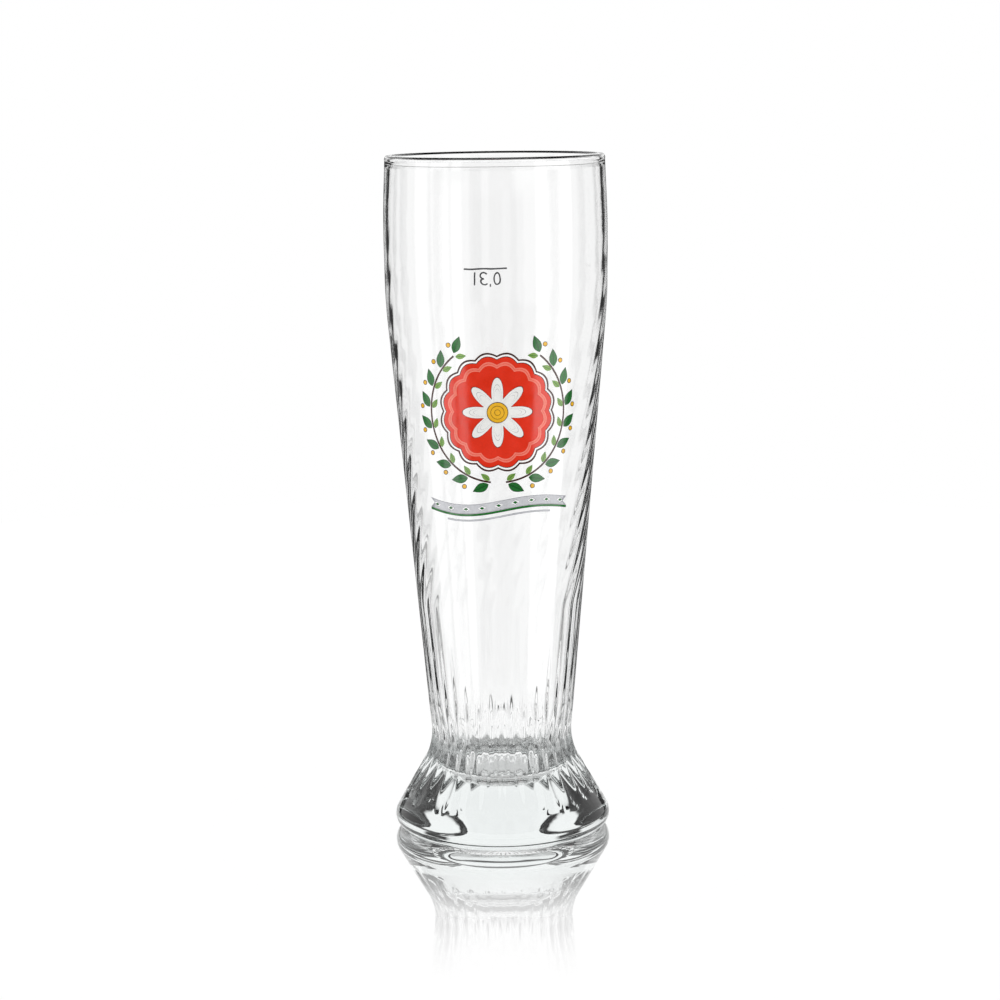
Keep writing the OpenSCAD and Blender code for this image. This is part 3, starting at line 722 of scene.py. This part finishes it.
def wrap_tree():
    """Thickens a flat drawing to a film and wraps it round the wall, so that it keeps its size
    along the glass. The wall's radius follows its height on a straight line."""
    names = ["Film", "Sunk", "Wall Radius", "Wall Slope", "Middle Height", "Turn", "Material"]
    kinds = {"Material": "NodeSocketMaterial"}
    tree, given = new_geometry_tree(
        "wrap_on_wall", [(n, kinds.get(n, "NodeSocketFloat")) for n in names])
    math_node = "ShaderNodeMath"
    film = add(tree, "GeometryNodeExtrudeMesh",
               {"Mesh": given["Geometry"], "Offset": (0, -1, 0), "Offset Scale": given["Film"],
                "Individual": False}, mode="FACES")
    back = add(tree, "GeometryNodeFlipFaces", [given["Geometry"]])
    closed = add(tree, "GeometryNodeJoinGeometry", [film])
    tree.links.new(back.outputs[0], closed.inputs[0])
    whole = add(tree, "GeometryNodeMergeByDistance", {"Geometry": closed, "Distance": WELD})
    flat = add(tree, "ShaderNodeSeparateXYZ", [add(tree, "GeometryNodeInputPosition")])
    wall = add(tree, math_node, [flat.outputs["Z"], given["Wall Slope"], given["Wall Radius"]],
               operation="MULTIPLY_ADD")
    radius = add(tree, math_node, [wall, flat.outputs["Y"]], operation="SUBTRACT")
    radius = add(tree, math_node, [radius, given["Sunk"]], operation="SUBTRACT")
    angle = add(tree, math_node, [flat.outputs["X"], wall], operation="DIVIDE")
    angle = add(tree, math_node, [angle, given["Turn"]], operation="ADD")
    x = add(tree, math_node, [add(tree, math_node, [angle], operation="SINE"), radius],
            operation="MULTIPLY")
    y = add(tree, math_node, [add(tree, math_node, [angle], operation="COSINE"), radius],
            operation="MULTIPLY")
    y = add(tree, math_node, [y, -1.0], operation="MULTIPLY")
    z = add(tree, math_node, [flat.outputs["Z"], given["Middle Height"]], operation="ADD")
    place = add(tree, "ShaderNodeCombineXYZ", [x, y, z])
    bent = add(tree, "GeometryNodeSetPosition", {"Geometry": whole, "Position": place})
    angle_between = add(tree, "GeometryNodeInputMeshEdgeAngle")
    corner = add(tree, math_node, [angle_between, math.radians(40)], operation="GREATER_THAN")
    sharp = add(tree, "GeometryNodeSetShadeSmooth",
                {"Geometry": bent, "Selection": corner, "Shade Smooth": False}, domain="EDGE")
    finish_tree(tree, sharp, given["Material"])
    return tree


def joined(name, pieces):
    """One object from several, with their attributes."""
    bm = bmesh.new()
    for piece in pieces:
        bm.from_mesh(piece.data)
        bpy.data.meshes.remove(piece.data)
    return new_object(name, bm)


def wreathed(piece, e, first, low_angle, radius, lean):
    """Repeats a flat leaf or berry along both stems."""
    return shaped(piece, wreath_tree(), {
        "First": first, "Count": LEAF_PAIRS + 1 - first, "Low Angle": low_angle,
        "Step Angle": (WREATH_TOP - WREATH_LOW) / LEAF_PAIRS, "Stem Radius": radius,
        "Lean": lean})


def printed(context, piece, node, material, height=None, turn=0.0):
    """Wraps a flat piece round the wall and lets it stand for its node."""
    e = context.scene.enamel_sizes
    glass = context.scene.glass_sizes
    outline = Outline(glass)
    if height is None:
        height = Decoration(glass, e).height
    reach = e.numeral_h
    slope = (outline.outer_r(height) - outline.outer_r(height - reach)) / reach
    shaped(piece, wrap_tree(), {
        "Film": e.film, "Sunk": e.sunk, "Wall Radius": outline.outer_r(height),
        "Wall Slope": slope, "Middle Height": height, "Turn": turn, "Material": material})
    bm = bmesh.new()
    bm.from_mesh(piece.data)
    bmesh.ops.recalc_face_normals(bm, faces=bm.faces)
    bm.to_mesh(piece.data)
    bm.free()
    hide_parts(node)
    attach(piece, BODY)


# Metres from the outline over which the tones may change, and how ragged the screen's edge is
EDGE_REACH = 0.004
RAGGED = 0.00016
# Scales of grain 0.45 mm wide, clouds of 4 mm and washes of 26 mm. A screen's own grain is about
# 0.1 mm, which wouldn't show, so it is drawn as coarse as it needs to show
GRAIN = 2200.0
CLOUD = 260.0
WASH = 38.0
VEIN_SHARE = 0.75
# Where the three noises' sum and the cloud alone stay most of the time
SUM_RANGE = (1.1, 1.9)
CLOUD_RANGE = (0.3, 0.7)
# Roughness of the glossiest and of the dullest place, as shares of the enamel's own
GLOSSIEST = 0.7
DULLEST = 1.5


def fired_enamel(name, tones, mottle=0.12, roughness=0.14, veins=None):
    """Glass enamel, screen printed and fired: a thin glossy glaze with the faint grain of the
    screen, uneven where the colour was laid thinner. Its tones are colours that start at a
    distance from the shape's outline, in metres."""
    made = new_material("screen_printed_enamel_" + name)
    tree = made.node_tree
    math_node = "ShaderNodeMath"
    place = add(tree, "ShaderNodeTexCoord").outputs["Object"]
    grain = add(tree, "ShaderNodeTexNoise", {"Vector": place, "Scale": GRAIN, "Detail": 2.0})
    cloud = add(tree, "ShaderNodeTexNoise", {"Vector": place, "Scale": CLOUD, "Detail": 3.0})
    wash = add(tree, "ShaderNodeTexNoise", {"Vector": place, "Scale": WASH, "Detail": 1.0})
    edge = add(tree, "ShaderNodeAttribute", attribute_name="edge").outputs["Fac"]
    ragged = add(tree, math_node, [add(tree, math_node, [grain, 0.5], operation="SUBTRACT"),
                                   RAGGED, edge], operation="MULTIPLY_ADD")
    share_in = add(tree, math_node, [ragged, EDGE_REACH], operation="DIVIDE")
    ramp = add(tree, "ShaderNodeValToRGB", [share_in])
    ramp.color_ramp.interpolation = "CONSTANT"
    while len(ramp.color_ramp.elements) < len(tones):
        ramp.color_ramp.elements.new(1.0)
    for element, (start, tone) in zip(ramp.color_ramp.elements, tones):
        element.position = start / EDGE_REACH
        element.color = (*tone, 1)
    colour_now = ramp.outputs["Color"]
    if veins:
        along = add(tree, "ShaderNodeAttribute", attribute_name="along").outputs["Fac"]
        across = add(tree, "ShaderNodeAttribute", attribute_name="across").outputs["Fac"]
        off = add(tree, math_node, [across], operation="ABSOLUTE")
        rib = add(tree, math_node, [off, veins["midrib"]], operation="LESS_THAN")
        slanted = add(tree, math_node, [off, -veins["slant"], along], operation="MULTIPLY_ADD")
        phase = add(tree, math_node, [slanted, veins["count"]], operation="MULTIPLY")
        phase = add(tree, math_node, [phase], operation="FRACT")
        side = add(tree, math_node, [phase, veins["width"]], operation="LESS_THAN")
        line = add(tree, math_node, [rib, side], operation="MAXIMUM")
        line = add(tree, math_node, [line, VEIN_SHARE], operation="MULTIPLY")
        colour_now = add(tree, "ShaderNodeMix", {"Factor": line, COLOUR_A: colour_now,
                                                 COLOUR_B: (*veins["tone"], 1)},
                         data_type="RGBA").outputs[COLOUR_RESULT]
    level = add(tree, math_node, [grain, cloud], operation="ADD")
    level = add(tree, math_node, [level, wash], operation="ADD")
    level = add(tree, "ShaderNodeMapRange", [level, *SUM_RANGE, 1 - mottle, 1 + mottle])
    tinted = add(tree, "ShaderNodeVectorMath", {"Vector": colour_now, "Scale": level},
                 operation="SCALE")
    rough = add(tree, "ShaderNodeMapRange",
                [cloud, *CLOUD_RANGE, roughness * GLOSSIEST, roughness * DULLEST])
    bump = add(tree, "ShaderNodeBump", {"Strength": 0.12, "Distance": 0.00002, "Height": grain})
    glaze = add(tree, "ShaderNodeBsdfPrincipled",
                {"Base Color": tinted, "Roughness": rough, "IOR": 1.55, "Normal": bump})
    add(tree, "ShaderNodeOutputMaterial", {"Surface": glaze})
    return made


def tone(context, name):
    return tuple(getattr(context.scene.enamel_colours, name))


# The ribbon, in bands that follow one wave, and the figures of the fill mark

WAVE_COLUMNS = 64
RIBBON_ROWS = 3
# The mark's figures: their places along it and half widths, as shares of their height
FIGURE_PLACES = (-0.85, -0.33, 0.12, 0.8)
ZERO_WIDTH = 0.29
THREE_BOWL = 0.3
# Place along and off the axis that keeps a shape clear of veins
PLAIN_ALONG = 0.5
PLAIN_ACROSS = 0.001


def wave_band(drawing, place, low, top, length_share):
    """A band between two heights over the wave's middle line."""
    rows = []
    for z in (low, (low + top) / 2, top):
        row = []
        for j in range(WAVE_COLUMNS + 1):
            t = length_share * (j / WAVE_COLUMNS - 0.5)
            row.append((place.wave(t) + Vector((0, z)), PLAIN_ALONG, min(z - low, top - z),
                        PLAIN_ACROSS))
        rows.append(row)
    drawing.patch(rows)


def ribbon(drawing, place):
    """The ribbon's band, with its ends notched and lozenges cut out along its middle."""
    e = place.e
    half_h, half_cut = e.ribbon_h / 2, e.lozenge_l / 2 / e.ribbon_l
    last = 0.5 - e.ribbon_h / 2 / e.ribbon_l
    stations = {0.5}
    for i in range(LOZENGES):
        middle = (i + 0.5) / LOZENGES - 0.5
        stations |= {middle + half_cut * k / 2 for k in (-2, -1, 0, 1, 2)}
        stations.add((i / LOZENGES) - 0.5)
    stations = sorted(t for t in stations if abs(t) < last or t in (0.5, -0.5))

    def cut(t):
        """Half the height of the cut at a station."""
        off = abs(((t + 0.5) * LOZENGES) % 1 - 0.5) / LOZENGES
        return e.lozenge_h / 2 * max(1 - off / half_cut, 0.0)

    for side in (-1, 1):
        rows = []
        for i in range(RIBBON_ROWS + 1):
            row = []
            for t in stations:
                z = cut(t) + (half_h - cut(t)) * i / RIBBON_ROWS
                point = place.wave(t) + Vector((0, side * z))
                edge = min(half_h - z, z - cut(t)) if cut(t) > 0 else half_h - z
                if abs(t) == 0.5:
                    point.x -= math.copysign(half_h * (1 - z / half_h), t)
                    edge = 0.0
                row.append((point, PLAIN_ALONG, edge, PLAIN_ACROSS))
            rows.append(row)
        drawing.patch(rows)


def lozenge_row(drawing, place, share_of_cut):
    """Lozenges along the middle of the ribbon."""
    e = place.e
    for i in range(LOZENGES):
        middle = place.wave((i + 0.5) / LOZENGES - 0.5)
        half_l, half_h = e.lozenge_l * share_of_cut / 2, e.lozenge_h * share_of_cut / 2
        corners = [Vector((-half_l, 0)), Vector((0, -half_h)), Vector((half_l, 0)),
                   Vector((0, half_h))]
        for a, b in zip(corners, corners[1:] + corners[:1]):
            drawing.patch([[(middle, PLAIN_ALONG, half_h, PLAIN_ACROSS),
                            (middle + corner, PLAIN_ALONG, 0.0, PLAIN_ACROSS)]
                           for corner in (a, b)])


class WEIZEN_OT_enamel_red(bpy.types.Operator):
    """Prints the red ground of the rosette"""
    bl_idname = "weizen.enamel_red"
    bl_label = "Red Enamel"

    def execute(self, context):
        e = context.scene.enamel_sizes
        place = Decoration(context.scene.glass_sizes, e)
        drawing = Drawing()
        drawing.loop(lambda a: Vector((0, 0)), lambda a: polar(place.rosette(e.rosette_r, a), a),
                     SCALLOPS * 12, 14)
        red, dark = tone(context, "vermilion"), tone(context, "brown")
        material = fired_enamel("vermilion", [(0.0, dark), (0.00022, red)], mottle=0.10)
        printed(context, drawing.finished("enamel_red_ground"), "enamel_red", material)
        return {"FINISHED"}


class WEIZEN_OT_enamel_coral(bpy.types.Operator):
    """Prints the coral ring over the red: a printed ring whose lighter coral is a painted
    highlight, standing for glare on the red
    """
    bl_idname = "weizen.enamel_coral"
    bl_label = "Coral Enamel"

    def execute(self, context):
        e = context.scene.enamel_sizes
        place = Decoration(context.scene.glass_sizes, e)
        ring_r = e.rosette_r - CORAL_INSET * e.line_w
        drawing = Drawing()
        drawing.level = e.film
        drawing.loop(lambda a: polar(place.rosette(ring_r - CORAL_BAND * e.line_w, a), a),
                     lambda a: polar(place.rosette(ring_r, a), a), SCALLOPS * 12, 4)
        # The ring's coral is a painted highlight for glare on the red, with a red line along it
        coral, red = tone(context, "coral"), tone(context, "vermilion")
        material = fired_enamel("coral", [(0.0, coral), (0.00042, red), (0.00050, coral)])
        printed(context, drawing.finished("enamel_coral_ring"), "enamel_coral", material)
        return {"FINISHED"}


class WEIZEN_OT_enamel_white(bpy.types.Operator):
    """Prints the white flower over the red"""
    bl_idname = "weizen.enamel_white"
    bl_label = "White Enamel"

    def execute(self, context):
        e = context.scene.enamel_sizes
        place = Decoration(context.scene.glass_sizes, e)
        drawing = Drawing()
        drawing.level = e.film
        drawing.loop(lambda a: Vector((0, 0)), lambda a: polar(place.flower(a), a),
                     PETALS * 24, 12)
        white, grey, dark = (tone(context, n) for n in ("white", "pencil", "brown"))
        material = fired_enamel("white", [(0.0, dark), (0.0002, white), (0.0021, grey),
                                          (0.00225, white), (0.0034, grey), (0.0035, white)],
                                mottle=0.07)
        printed(context, drawing.finished("enamel_white_flower"), "enamel_white", material)
        return {"FINISHED"}


class WEIZEN_OT_enamel_gold(bpy.types.Operator):
    """Prints the flower's eye and the berries"""
    bl_idname = "weizen.enamel_gold"
    bl_label = "Gold Enamel"

    def execute(self, context):
        e = context.scene.enamel_sizes
        place = Decoration(context.scene.glass_sizes, e)
        berry = Drawing()
        berry.disc(Vector((e.leaf_l * BERRY_PLACE, -e.leaf_w / 2 - e.berry_gap - e.berry_r)),
                   e.berry_r)
        berries = wreathed(berry.finished("berries"), e, 1, WREATH_LOW,
                           place.wreath_r + e.line_w / 2, math.pi / 2 - LEAF_LEAN)
        eye = Drawing()
        eye.level = 2 * e.film
        eye.disc(Vector((0, 0)), e.eye_r, 48, 8)
        piece = joined("enamel_gold_eye_and_berries", [berries, eye.finished("eye")])
        gold, dark = tone(context, "gold"), tone(context, "brown")
        material = fired_enamel("gold", [(0.0, dark), (0.00018, gold), (0.0011, dark),
                                         (0.00125, gold), (0.0022, dark), (0.00232, gold)])
        printed(context, piece, "enamel_gold", material)
        return {"FINISHED"}


class WEIZEN_OT_enamel_brown(bpy.types.Operator):
    """Prints the outline of the rosette and the stems of the wreath"""
    bl_idname = "weizen.enamel_brown"
    bl_label = "Brown Enamel"

    def execute(self, context):
        e = context.scene.enamel_sizes
        place = Decoration(context.scene.glass_sizes, e)
        clear_r = e.rosette_r + e.line_w
        drawing = Drawing()
        drawing.loop(lambda a: polar(place.rosette(clear_r, a), a),
                     lambda a: polar(place.rosette(clear_r + e.line_w, a), a), SCALLOPS * 12, 2)
        for first, last in ((WREATH_LOW, WREATH_TOP), (math.pi - WREATH_TOP, math.pi - WREATH_LOW)):
            drawing.loop(lambda a: polar(place.wreath_r - e.line_w / 2, a),
                         lambda a: polar(place.wreath_r + e.line_w / 2, a), 72, 2, first, last)
        material = fired_enamel("brown", [(0.0, tone(context, "brown"))])
        printed(context, drawing.finished("enamel_brown_lines"), "enamel_brown", material)
        return {"FINISHED"}


class WEIZEN_OT_enamel_dark_green(bpy.types.Operator):
    """Prints the dark leaves, the ribbon's shade and its inlaid lozenges"""
    bl_idname = "weizen.enamel_dark_green"
    bl_label = "Dark Green Enamel"

    def execute(self, context):
        e = context.scene.enamel_sizes
        place = Decoration(context.scene.glass_sizes, e)
        leaf = Drawing()
        leaf.leaf(e.leaf_l, e.leaf_w)
        leaves = wreathed(leaf.finished("dark_leaves"), e, 0, WREATH_LOW,
                          place.wreath_r + e.line_w / 2, math.pi / 2 - LEAF_LEAN)
        shade = Drawing()
        wave_band(shade, place, place.shade_low, place.shade_low + e.shade_w, 1.0)
        lozenge_row(shade, place, 1 - 2 * e.inlay_gap / e.lozenge_h)
        piece = joined("enamel_dark_green_leaves", [leaves, shade.finished("shade")])
        green, deep = tone(context, "dark_green"), tone(context, "deep_green")
        veins = {"midrib": 0.00013, "slant": 130.0, "count": 8.0, "width": 0.22, "tone": deep}
        material = fired_enamel("dark_green", [(0.0, deep), (0.00012, green)], mottle=0.22,
                                veins=veins)
        printed(context, piece, "enamel_dark_green", material)
        return {"FINISHED"}


class WEIZEN_OT_enamel_light_green(bpy.types.Operator):
    """Prints the light leaves inside the wreath"""
    bl_idname = "weizen.enamel_light_green"
    bl_label = "Light Green Enamel"

    def execute(self, context):
        e = context.scene.enamel_sizes
        place = Decoration(context.scene.glass_sizes, e)
        leaf = Drawing()
        leaf.leaf(e.leaf_l * INNER_LEAF, e.leaf_w * INNER_LEAF)
        piece = wreathed(leaf.finished("enamel_light_green_leaves"), e, 0, WREATH_LOW,
                         place.wreath_r - e.line_w / 2, math.pi / 2 + LEAF_LEAN)
        light, dark = tone(context, "light_green"), tone(context, "dark_green")
        veins = {"midrib": 0.0001, "slant": 200.0, "count": 6.0, "width": 0.2, "tone": dark}
        material = fired_enamel("light_green", [(0.0, light)], mottle=0.18, veins=veins)
        printed(context, piece, "enamel_light_green", material)
        return {"FINISHED"}


class WEIZEN_OT_enamel_silver(bpy.types.Operator):
    """Prints the waved ribbon and the thin line under it, with painted shade along their edges"""
    bl_idname = "weizen.enamel_silver"
    bl_label = "Silver Enamel"

    def execute(self, context):
        e = context.scene.enamel_sizes
        place = Decoration(context.scene.glass_sizes, e)
        drawing = Drawing()
        ribbon(drawing, place)
        wave_band(drawing, place, place.thread_low, place.thread_low + e.line_w, THREAD_SHARE)
        silver, edge = tone(context, "silver"), tone(context, "silver_painted_bevel_shade")
        # The darker grey along the edges is painted shade, as on a bevelled edge
        material = fired_enamel("silver", [(0.0, edge), (0.00016, silver)], mottle=0.16,
                                roughness=0.3)
        printed(context, drawing.finished("enamel_silver_ribbon"), "enamel_silver", material)
        return {"FINISHED"}


class WEIZEN_OT_fill_mark(bpy.types.Operator):
    """Prints the fill line and its number on the far side, to be read from there"""
    bl_idname = "weizen.fill_mark"
    bl_label = "Fill Mark"

    def execute(self, context):
        e = context.scene.enamel_sizes
        w, h = e.fill_line_w, e.numeral_h
        top = -2 * w
        zero, comma, three, litre = (h * s for s in FIGURE_PLACES)
        drawing = Drawing()
        drawing.bar(Vector((-e.fill_line_l / 2, -w / 2)), Vector((e.fill_line_l / 2, w / 2)), 14)
        drawing.oval_band(Vector((zero, top - h / 2)), h * ZERO_WIDTH - w / 2, (h - w) / 2, w)
        bowl_rx, bowl_ry = h * THREE_BOWL - w / 2, (h - w) / 4
        drawing.oval_band(Vector((three, top - w / 2 - bowl_ry)), bowl_rx, bowl_ry, w,
                          math.radians(150), math.radians(-90))
        drawing.oval_band(Vector((three, top - h + w / 2 + bowl_ry)), bowl_rx, bowl_ry, w,
                          math.radians(90), math.radians(-150))
        drawing.bar(Vector((comma - w / 2, top - h - w)), Vector((comma + w / 2, top - h + w)))
        drawing.bar(Vector((litre - w / 2, top - h)), Vector((litre + w / 2, top)))
        material = fired_enamel("mark_grey", [(0.0, tone(context, "mark"))], roughness=0.25)
        height = context.scene.glass_sizes.height - e.fill_drop
        printed(context, drawing.finished("fill_mark_line_and_number"), "fill_mark", material,
                height, math.pi + e.fill_mark_turn)
        return {"FINISHED"}


# The stage

# Directions are degrees from +Y, turning towards +X, and heights are degrees over the horizon.
# A ring starts and ends at the seam, which no patch may cross, and its edges are soft
SEAM = 67.5
RING_SOFT = 2.5
HEIGHT_SOFT = 2.0
# The level under the lowest ring, and half the width of a flag
UNDER_RINGS = 0.01
FLAG = 5.5
FLAGS = tuple((middle, FLAG, 0.01) for middle in (-112.5, -67.5, -28, 28, 112.5, 157.5))
# Rings start at their height and reach up to the next: each has a level, and patches of (middle,
# half width, level). First comes the light floor beyond the sheet with two dark patches, then the
# white tent with black flags and the grey photographer's side, two dark rings with windows, and
# the grey ceiling with one narrow window
TENT_RINGS = (
    (-40, 0.95, ((0, 30, 0.01), (-90, 18, 0.01))),
    (-24, 1.0, FLAGS + ((-172, 14, 0.35),)),
    (3, 0.005, ((0, 25, 1.0), (-90, 20, 1.0), (135, 25, 1.0))),
    (22, 0.005, ((0, 25, 1.0), (-45, 16, 1.0), (-90, 16, 1.0), (135, 16, 1.0))),
    (32, 0.58, ((0, 8, 1.0),)),
    (60, 0.58, ()),
)
# What the outer skin mirrors: the dark floor and photographer's side, with a softbox on the right
# and three strips of light on the left, then the white tent, and its dark ceiling
GLOSS_LEVEL = 2.4
GLOSS_RINGS = (
    (-90, 0.05, ((117, 20, 1.0), (-140, 4, 0.9), (-121, 9, 0.9), (-98, 7, 0.6))),
    (1, 1 / GLOSS_LEVEL, ()),
    (38, 0.05, ()),
)
# The sheet: its own grey, its glow, how its mirror image fades, where it meets bent light, and
# how far under the foot it lies
SHEET_GREY = 0.15
SHEET_GLOW = 0.86
MIRROR_POWER = 1.6
NEAR_SHEET_R = 0.11
FAR_SHEET_R = 0.14
SHEET_DROP = 0.0001


def studio_world():
    """A white tent as glass is photographed in: plain white to the camera and to matt surfaces,
    with flags, windows and softboxes for glass to bend and to mirror."""
    world = bpy.data.worlds.new("white_tent_with_flags")
    world.use_nodes = True
    tree = world.node_tree
    tree.nodes.clear()
    math_node = "ShaderNodeMath"
    way = add(tree, "ShaderNodeTexCoord").outputs["Generated"]
    xyz = add(tree, "ShaderNodeSeparateXYZ", [way])
    azimuth = add(tree, math_node, [xyz.outputs["X"], xyz.outputs["Y"]], operation="ARCTAN2")
    turn = add(tree, math_node, [azimuth, 1 / math.tau, 1 - SEAM / 360], operation="MULTIPLY_ADD")
    turn = add(tree, math_node, [turn], operation="FRACT")
    height = add(tree, math_node, [xyz.outputs["Z"]], operation="ARCSINE")

    def ring(level, patches):
        """Levels round the horizon."""
        stops = [(0, level)]
        for middle, half, patch_level in sorted(patches, key=lambda p: (p[0] - SEAM) % 360):
            at = (middle - SEAM) % 360
            stops += [(at - half - RING_SOFT, level), (at - half, patch_level),
                      (at + half, patch_level), (at + half + RING_SOFT, level)]
        ramp = add(tree, "ShaderNodeValToRGB", [turn])
        elements = ramp.color_ramp.elements
        elements.remove(elements[1])
        for i, (at, grey) in enumerate(stops):
            element = elements.new(at / 360) if i else elements[0]
            element.color = (grey, grey, grey, 1)
        return ramp

    def stacked(rings):
        """Rings one over the other."""
        whole = UNDER_RINGS
        for start, level, patches in rings:
            low = math.radians(start)
            reached = add(tree, "ShaderNodeMapRange",
                          [height, low, low + math.radians(HEIGHT_SOFT), 0.0, 1.0],
                          interpolation_type="SMOOTHSTEP")
            whole = add(tree, "ShaderNodeMix",
                        {"Factor": reached, VALUE_A: whole, VALUE_B: ring(level, patches)})
        return whole

    tent = stacked(TENT_RINGS)
    mirrored = add(tree, math_node, [stacked(GLOSS_RINGS), GLOSS_LEVEL], operation="MULTIPLY")
    path = add(tree, "ShaderNodeLightPath")
    strength = add(tree, "ShaderNodeMix",
                   {"Factor": path.outputs["Is Glossy Ray"], VALUE_A: 1.0, VALUE_B: mirrored})
    # Rays bent by smooth glass count as glossy too, so they are told apart last
    strength = add(tree, "ShaderNodeMix",
                   {"Factor": path.outputs["Is Transmission Ray"], VALUE_A: strength,
                    VALUE_B: tent})
    light = add(tree, "ShaderNodeBackground", {"Color": (1, 1, 1, 1), "Strength": strength})
    add(tree, "ShaderNodeOutputWorld", {"Surface": light})
    return world


def white_acrylic(studio):
    """White acrylic sheet: plain white, with a mirror image that fades away from the foot."""
    made = new_material("white_acrylic_sheet")
    tree = made.node_tree
    math_node = "ShaderNodeMath"
    place = add(tree, "ShaderNodeTexCoord").outputs["Object"]
    off = add(tree, "ShaderNodeVectorMath", [place], operation="LENGTH").outputs["Value"]
    fade = add(tree, "ShaderNodeMapRange", [off, studio.mirror_near, studio.mirror_far, 1.0, 0.0])
    fade = add(tree, math_node, [fade, MIRROR_POWER], operation="POWER")
    fade = add(tree, math_node, [fade, studio.mirror], operation="MULTIPLY")
    path = add(tree, "ShaderNodeLightPath")
    matt = add(tree, "ShaderNodeBsdfDiffuse", {"Color": (SHEET_GREY, SHEET_GREY, SHEET_GREY, 1)})
    glow = add(tree, "ShaderNodeEmission", {"Color": (1, 1, 1, 1), "Strength": SHEET_GLOW})
    sheet = add(tree, "ShaderNodeAddShader", [matt, glow])
    mirror = add(tree, "ShaderNodeBsdfGlossy", {"Color": (1, 1, 1, 1), "Roughness": 0.0})
    seen = add(tree, "ShaderNodeMixShader", [fade, sheet, mirror])

    # Away from the foot only the camera meets the sheet: bent light goes on to the tent
    near = add(tree, "ShaderNodeMapRange", [off, NEAR_SHEET_R, FAR_SHEET_R, 1.0, 0.0])
    shown = add(tree, math_node, [near, path.outputs["Is Camera Ray"]], operation="MAXIMUM")
    through = add(tree, "ShaderNodeBsdfTransparent")
    mix = add(tree, "ShaderNodeMixShader", [shown, through, seen])
    add(tree, "ShaderNodeOutputMaterial", {"Surface": mix})
    return made


class WEIZEN_OT_stage(bpy.types.Operator):
    """Sets the floor, the light and the camera"""
    bl_idname = "weizen.stage"
    bl_label = "Stage"

    def execute(self, context):
        scene = context.scene
        studio = scene.studio
        bm = bmesh.new()
        bmesh.ops.create_circle(bm, cap_ends=True, segments=128, radius=studio.floor_r)
        bmesh.ops.translate(bm, verts=bm.verts, vec=(0, 0, -SHEET_DROP))
        floor = new_object("floor", bm)
        floor.data.materials.append(white_acrylic(studio))

        scene.world = studio_world()
        scene.view_settings.view_transform = "Standard"
        camera_data = bpy.data.cameras.new("camera")
        camera_data.lens = studio.lens
        camera = bpy.data.objects.new("camera", camera_data)
        camera.location = (studio.axis_offset, -studio.distance, studio.eye_height)
        camera.rotation_euler = (math.pi / 2 - studio.pitch, studio.roll, 0)
        scene.collection.objects.link(camera)
        scene.camera = camera
        return {"FINISHED"}


class WEIZEN_PT_panel(bpy.types.Panel):
    """Lists the steps that build the glass"""
    bl_idname = "WEIZEN_PT_panel"
    bl_label = "Weizen Glass"
    bl_space_type = "VIEW_3D"
    bl_region_type = "UI"
    bl_category = "Weizen Glass"

    def draw(self, context):
        for operator in OPERATORS:
            self.layout.operator(operator.bl_idname)


OPERATORS = (WEIZEN_OT_stage, WEIZEN_OT_glass, WEIZEN_OT_enamel_red, WEIZEN_OT_enamel_coral,
             WEIZEN_OT_enamel_white, WEIZEN_OT_enamel_gold, WEIZEN_OT_enamel_brown,
             WEIZEN_OT_enamel_dark_green, WEIZEN_OT_enamel_light_green, WEIZEN_OT_enamel_silver,
             WEIZEN_OT_fill_mark)
GROUPS = {"glass_sizes": GlassSizes, "optic_sizes": OpticSizes, "enamel_sizes": EnamelSizes,
          "enamel_colours": EnamelColours, "studio": Studio}
CLASSES = (*GROUPS.values(), *OPERATORS, WEIZEN_PT_panel)


def register():
    for cls in CLASSES:
        bpy.utils.register_class(cls)
    for name, group in GROUPS.items():
        setattr(bpy.types.Scene, name, PointerProperty(type=group))


def unregister():
    for name in GROUPS:
        delattr(bpy.types.Scene, name)
    for cls in reversed(CLASSES):
        bpy.utils.unregister_class(cls)


def main():
    register()
    for operator in OPERATORS:
        group, name = operator.bl_idname.split(".")
        getattr(getattr(bpy.ops, group), name)()


if __name__ == "__main__":
    main()
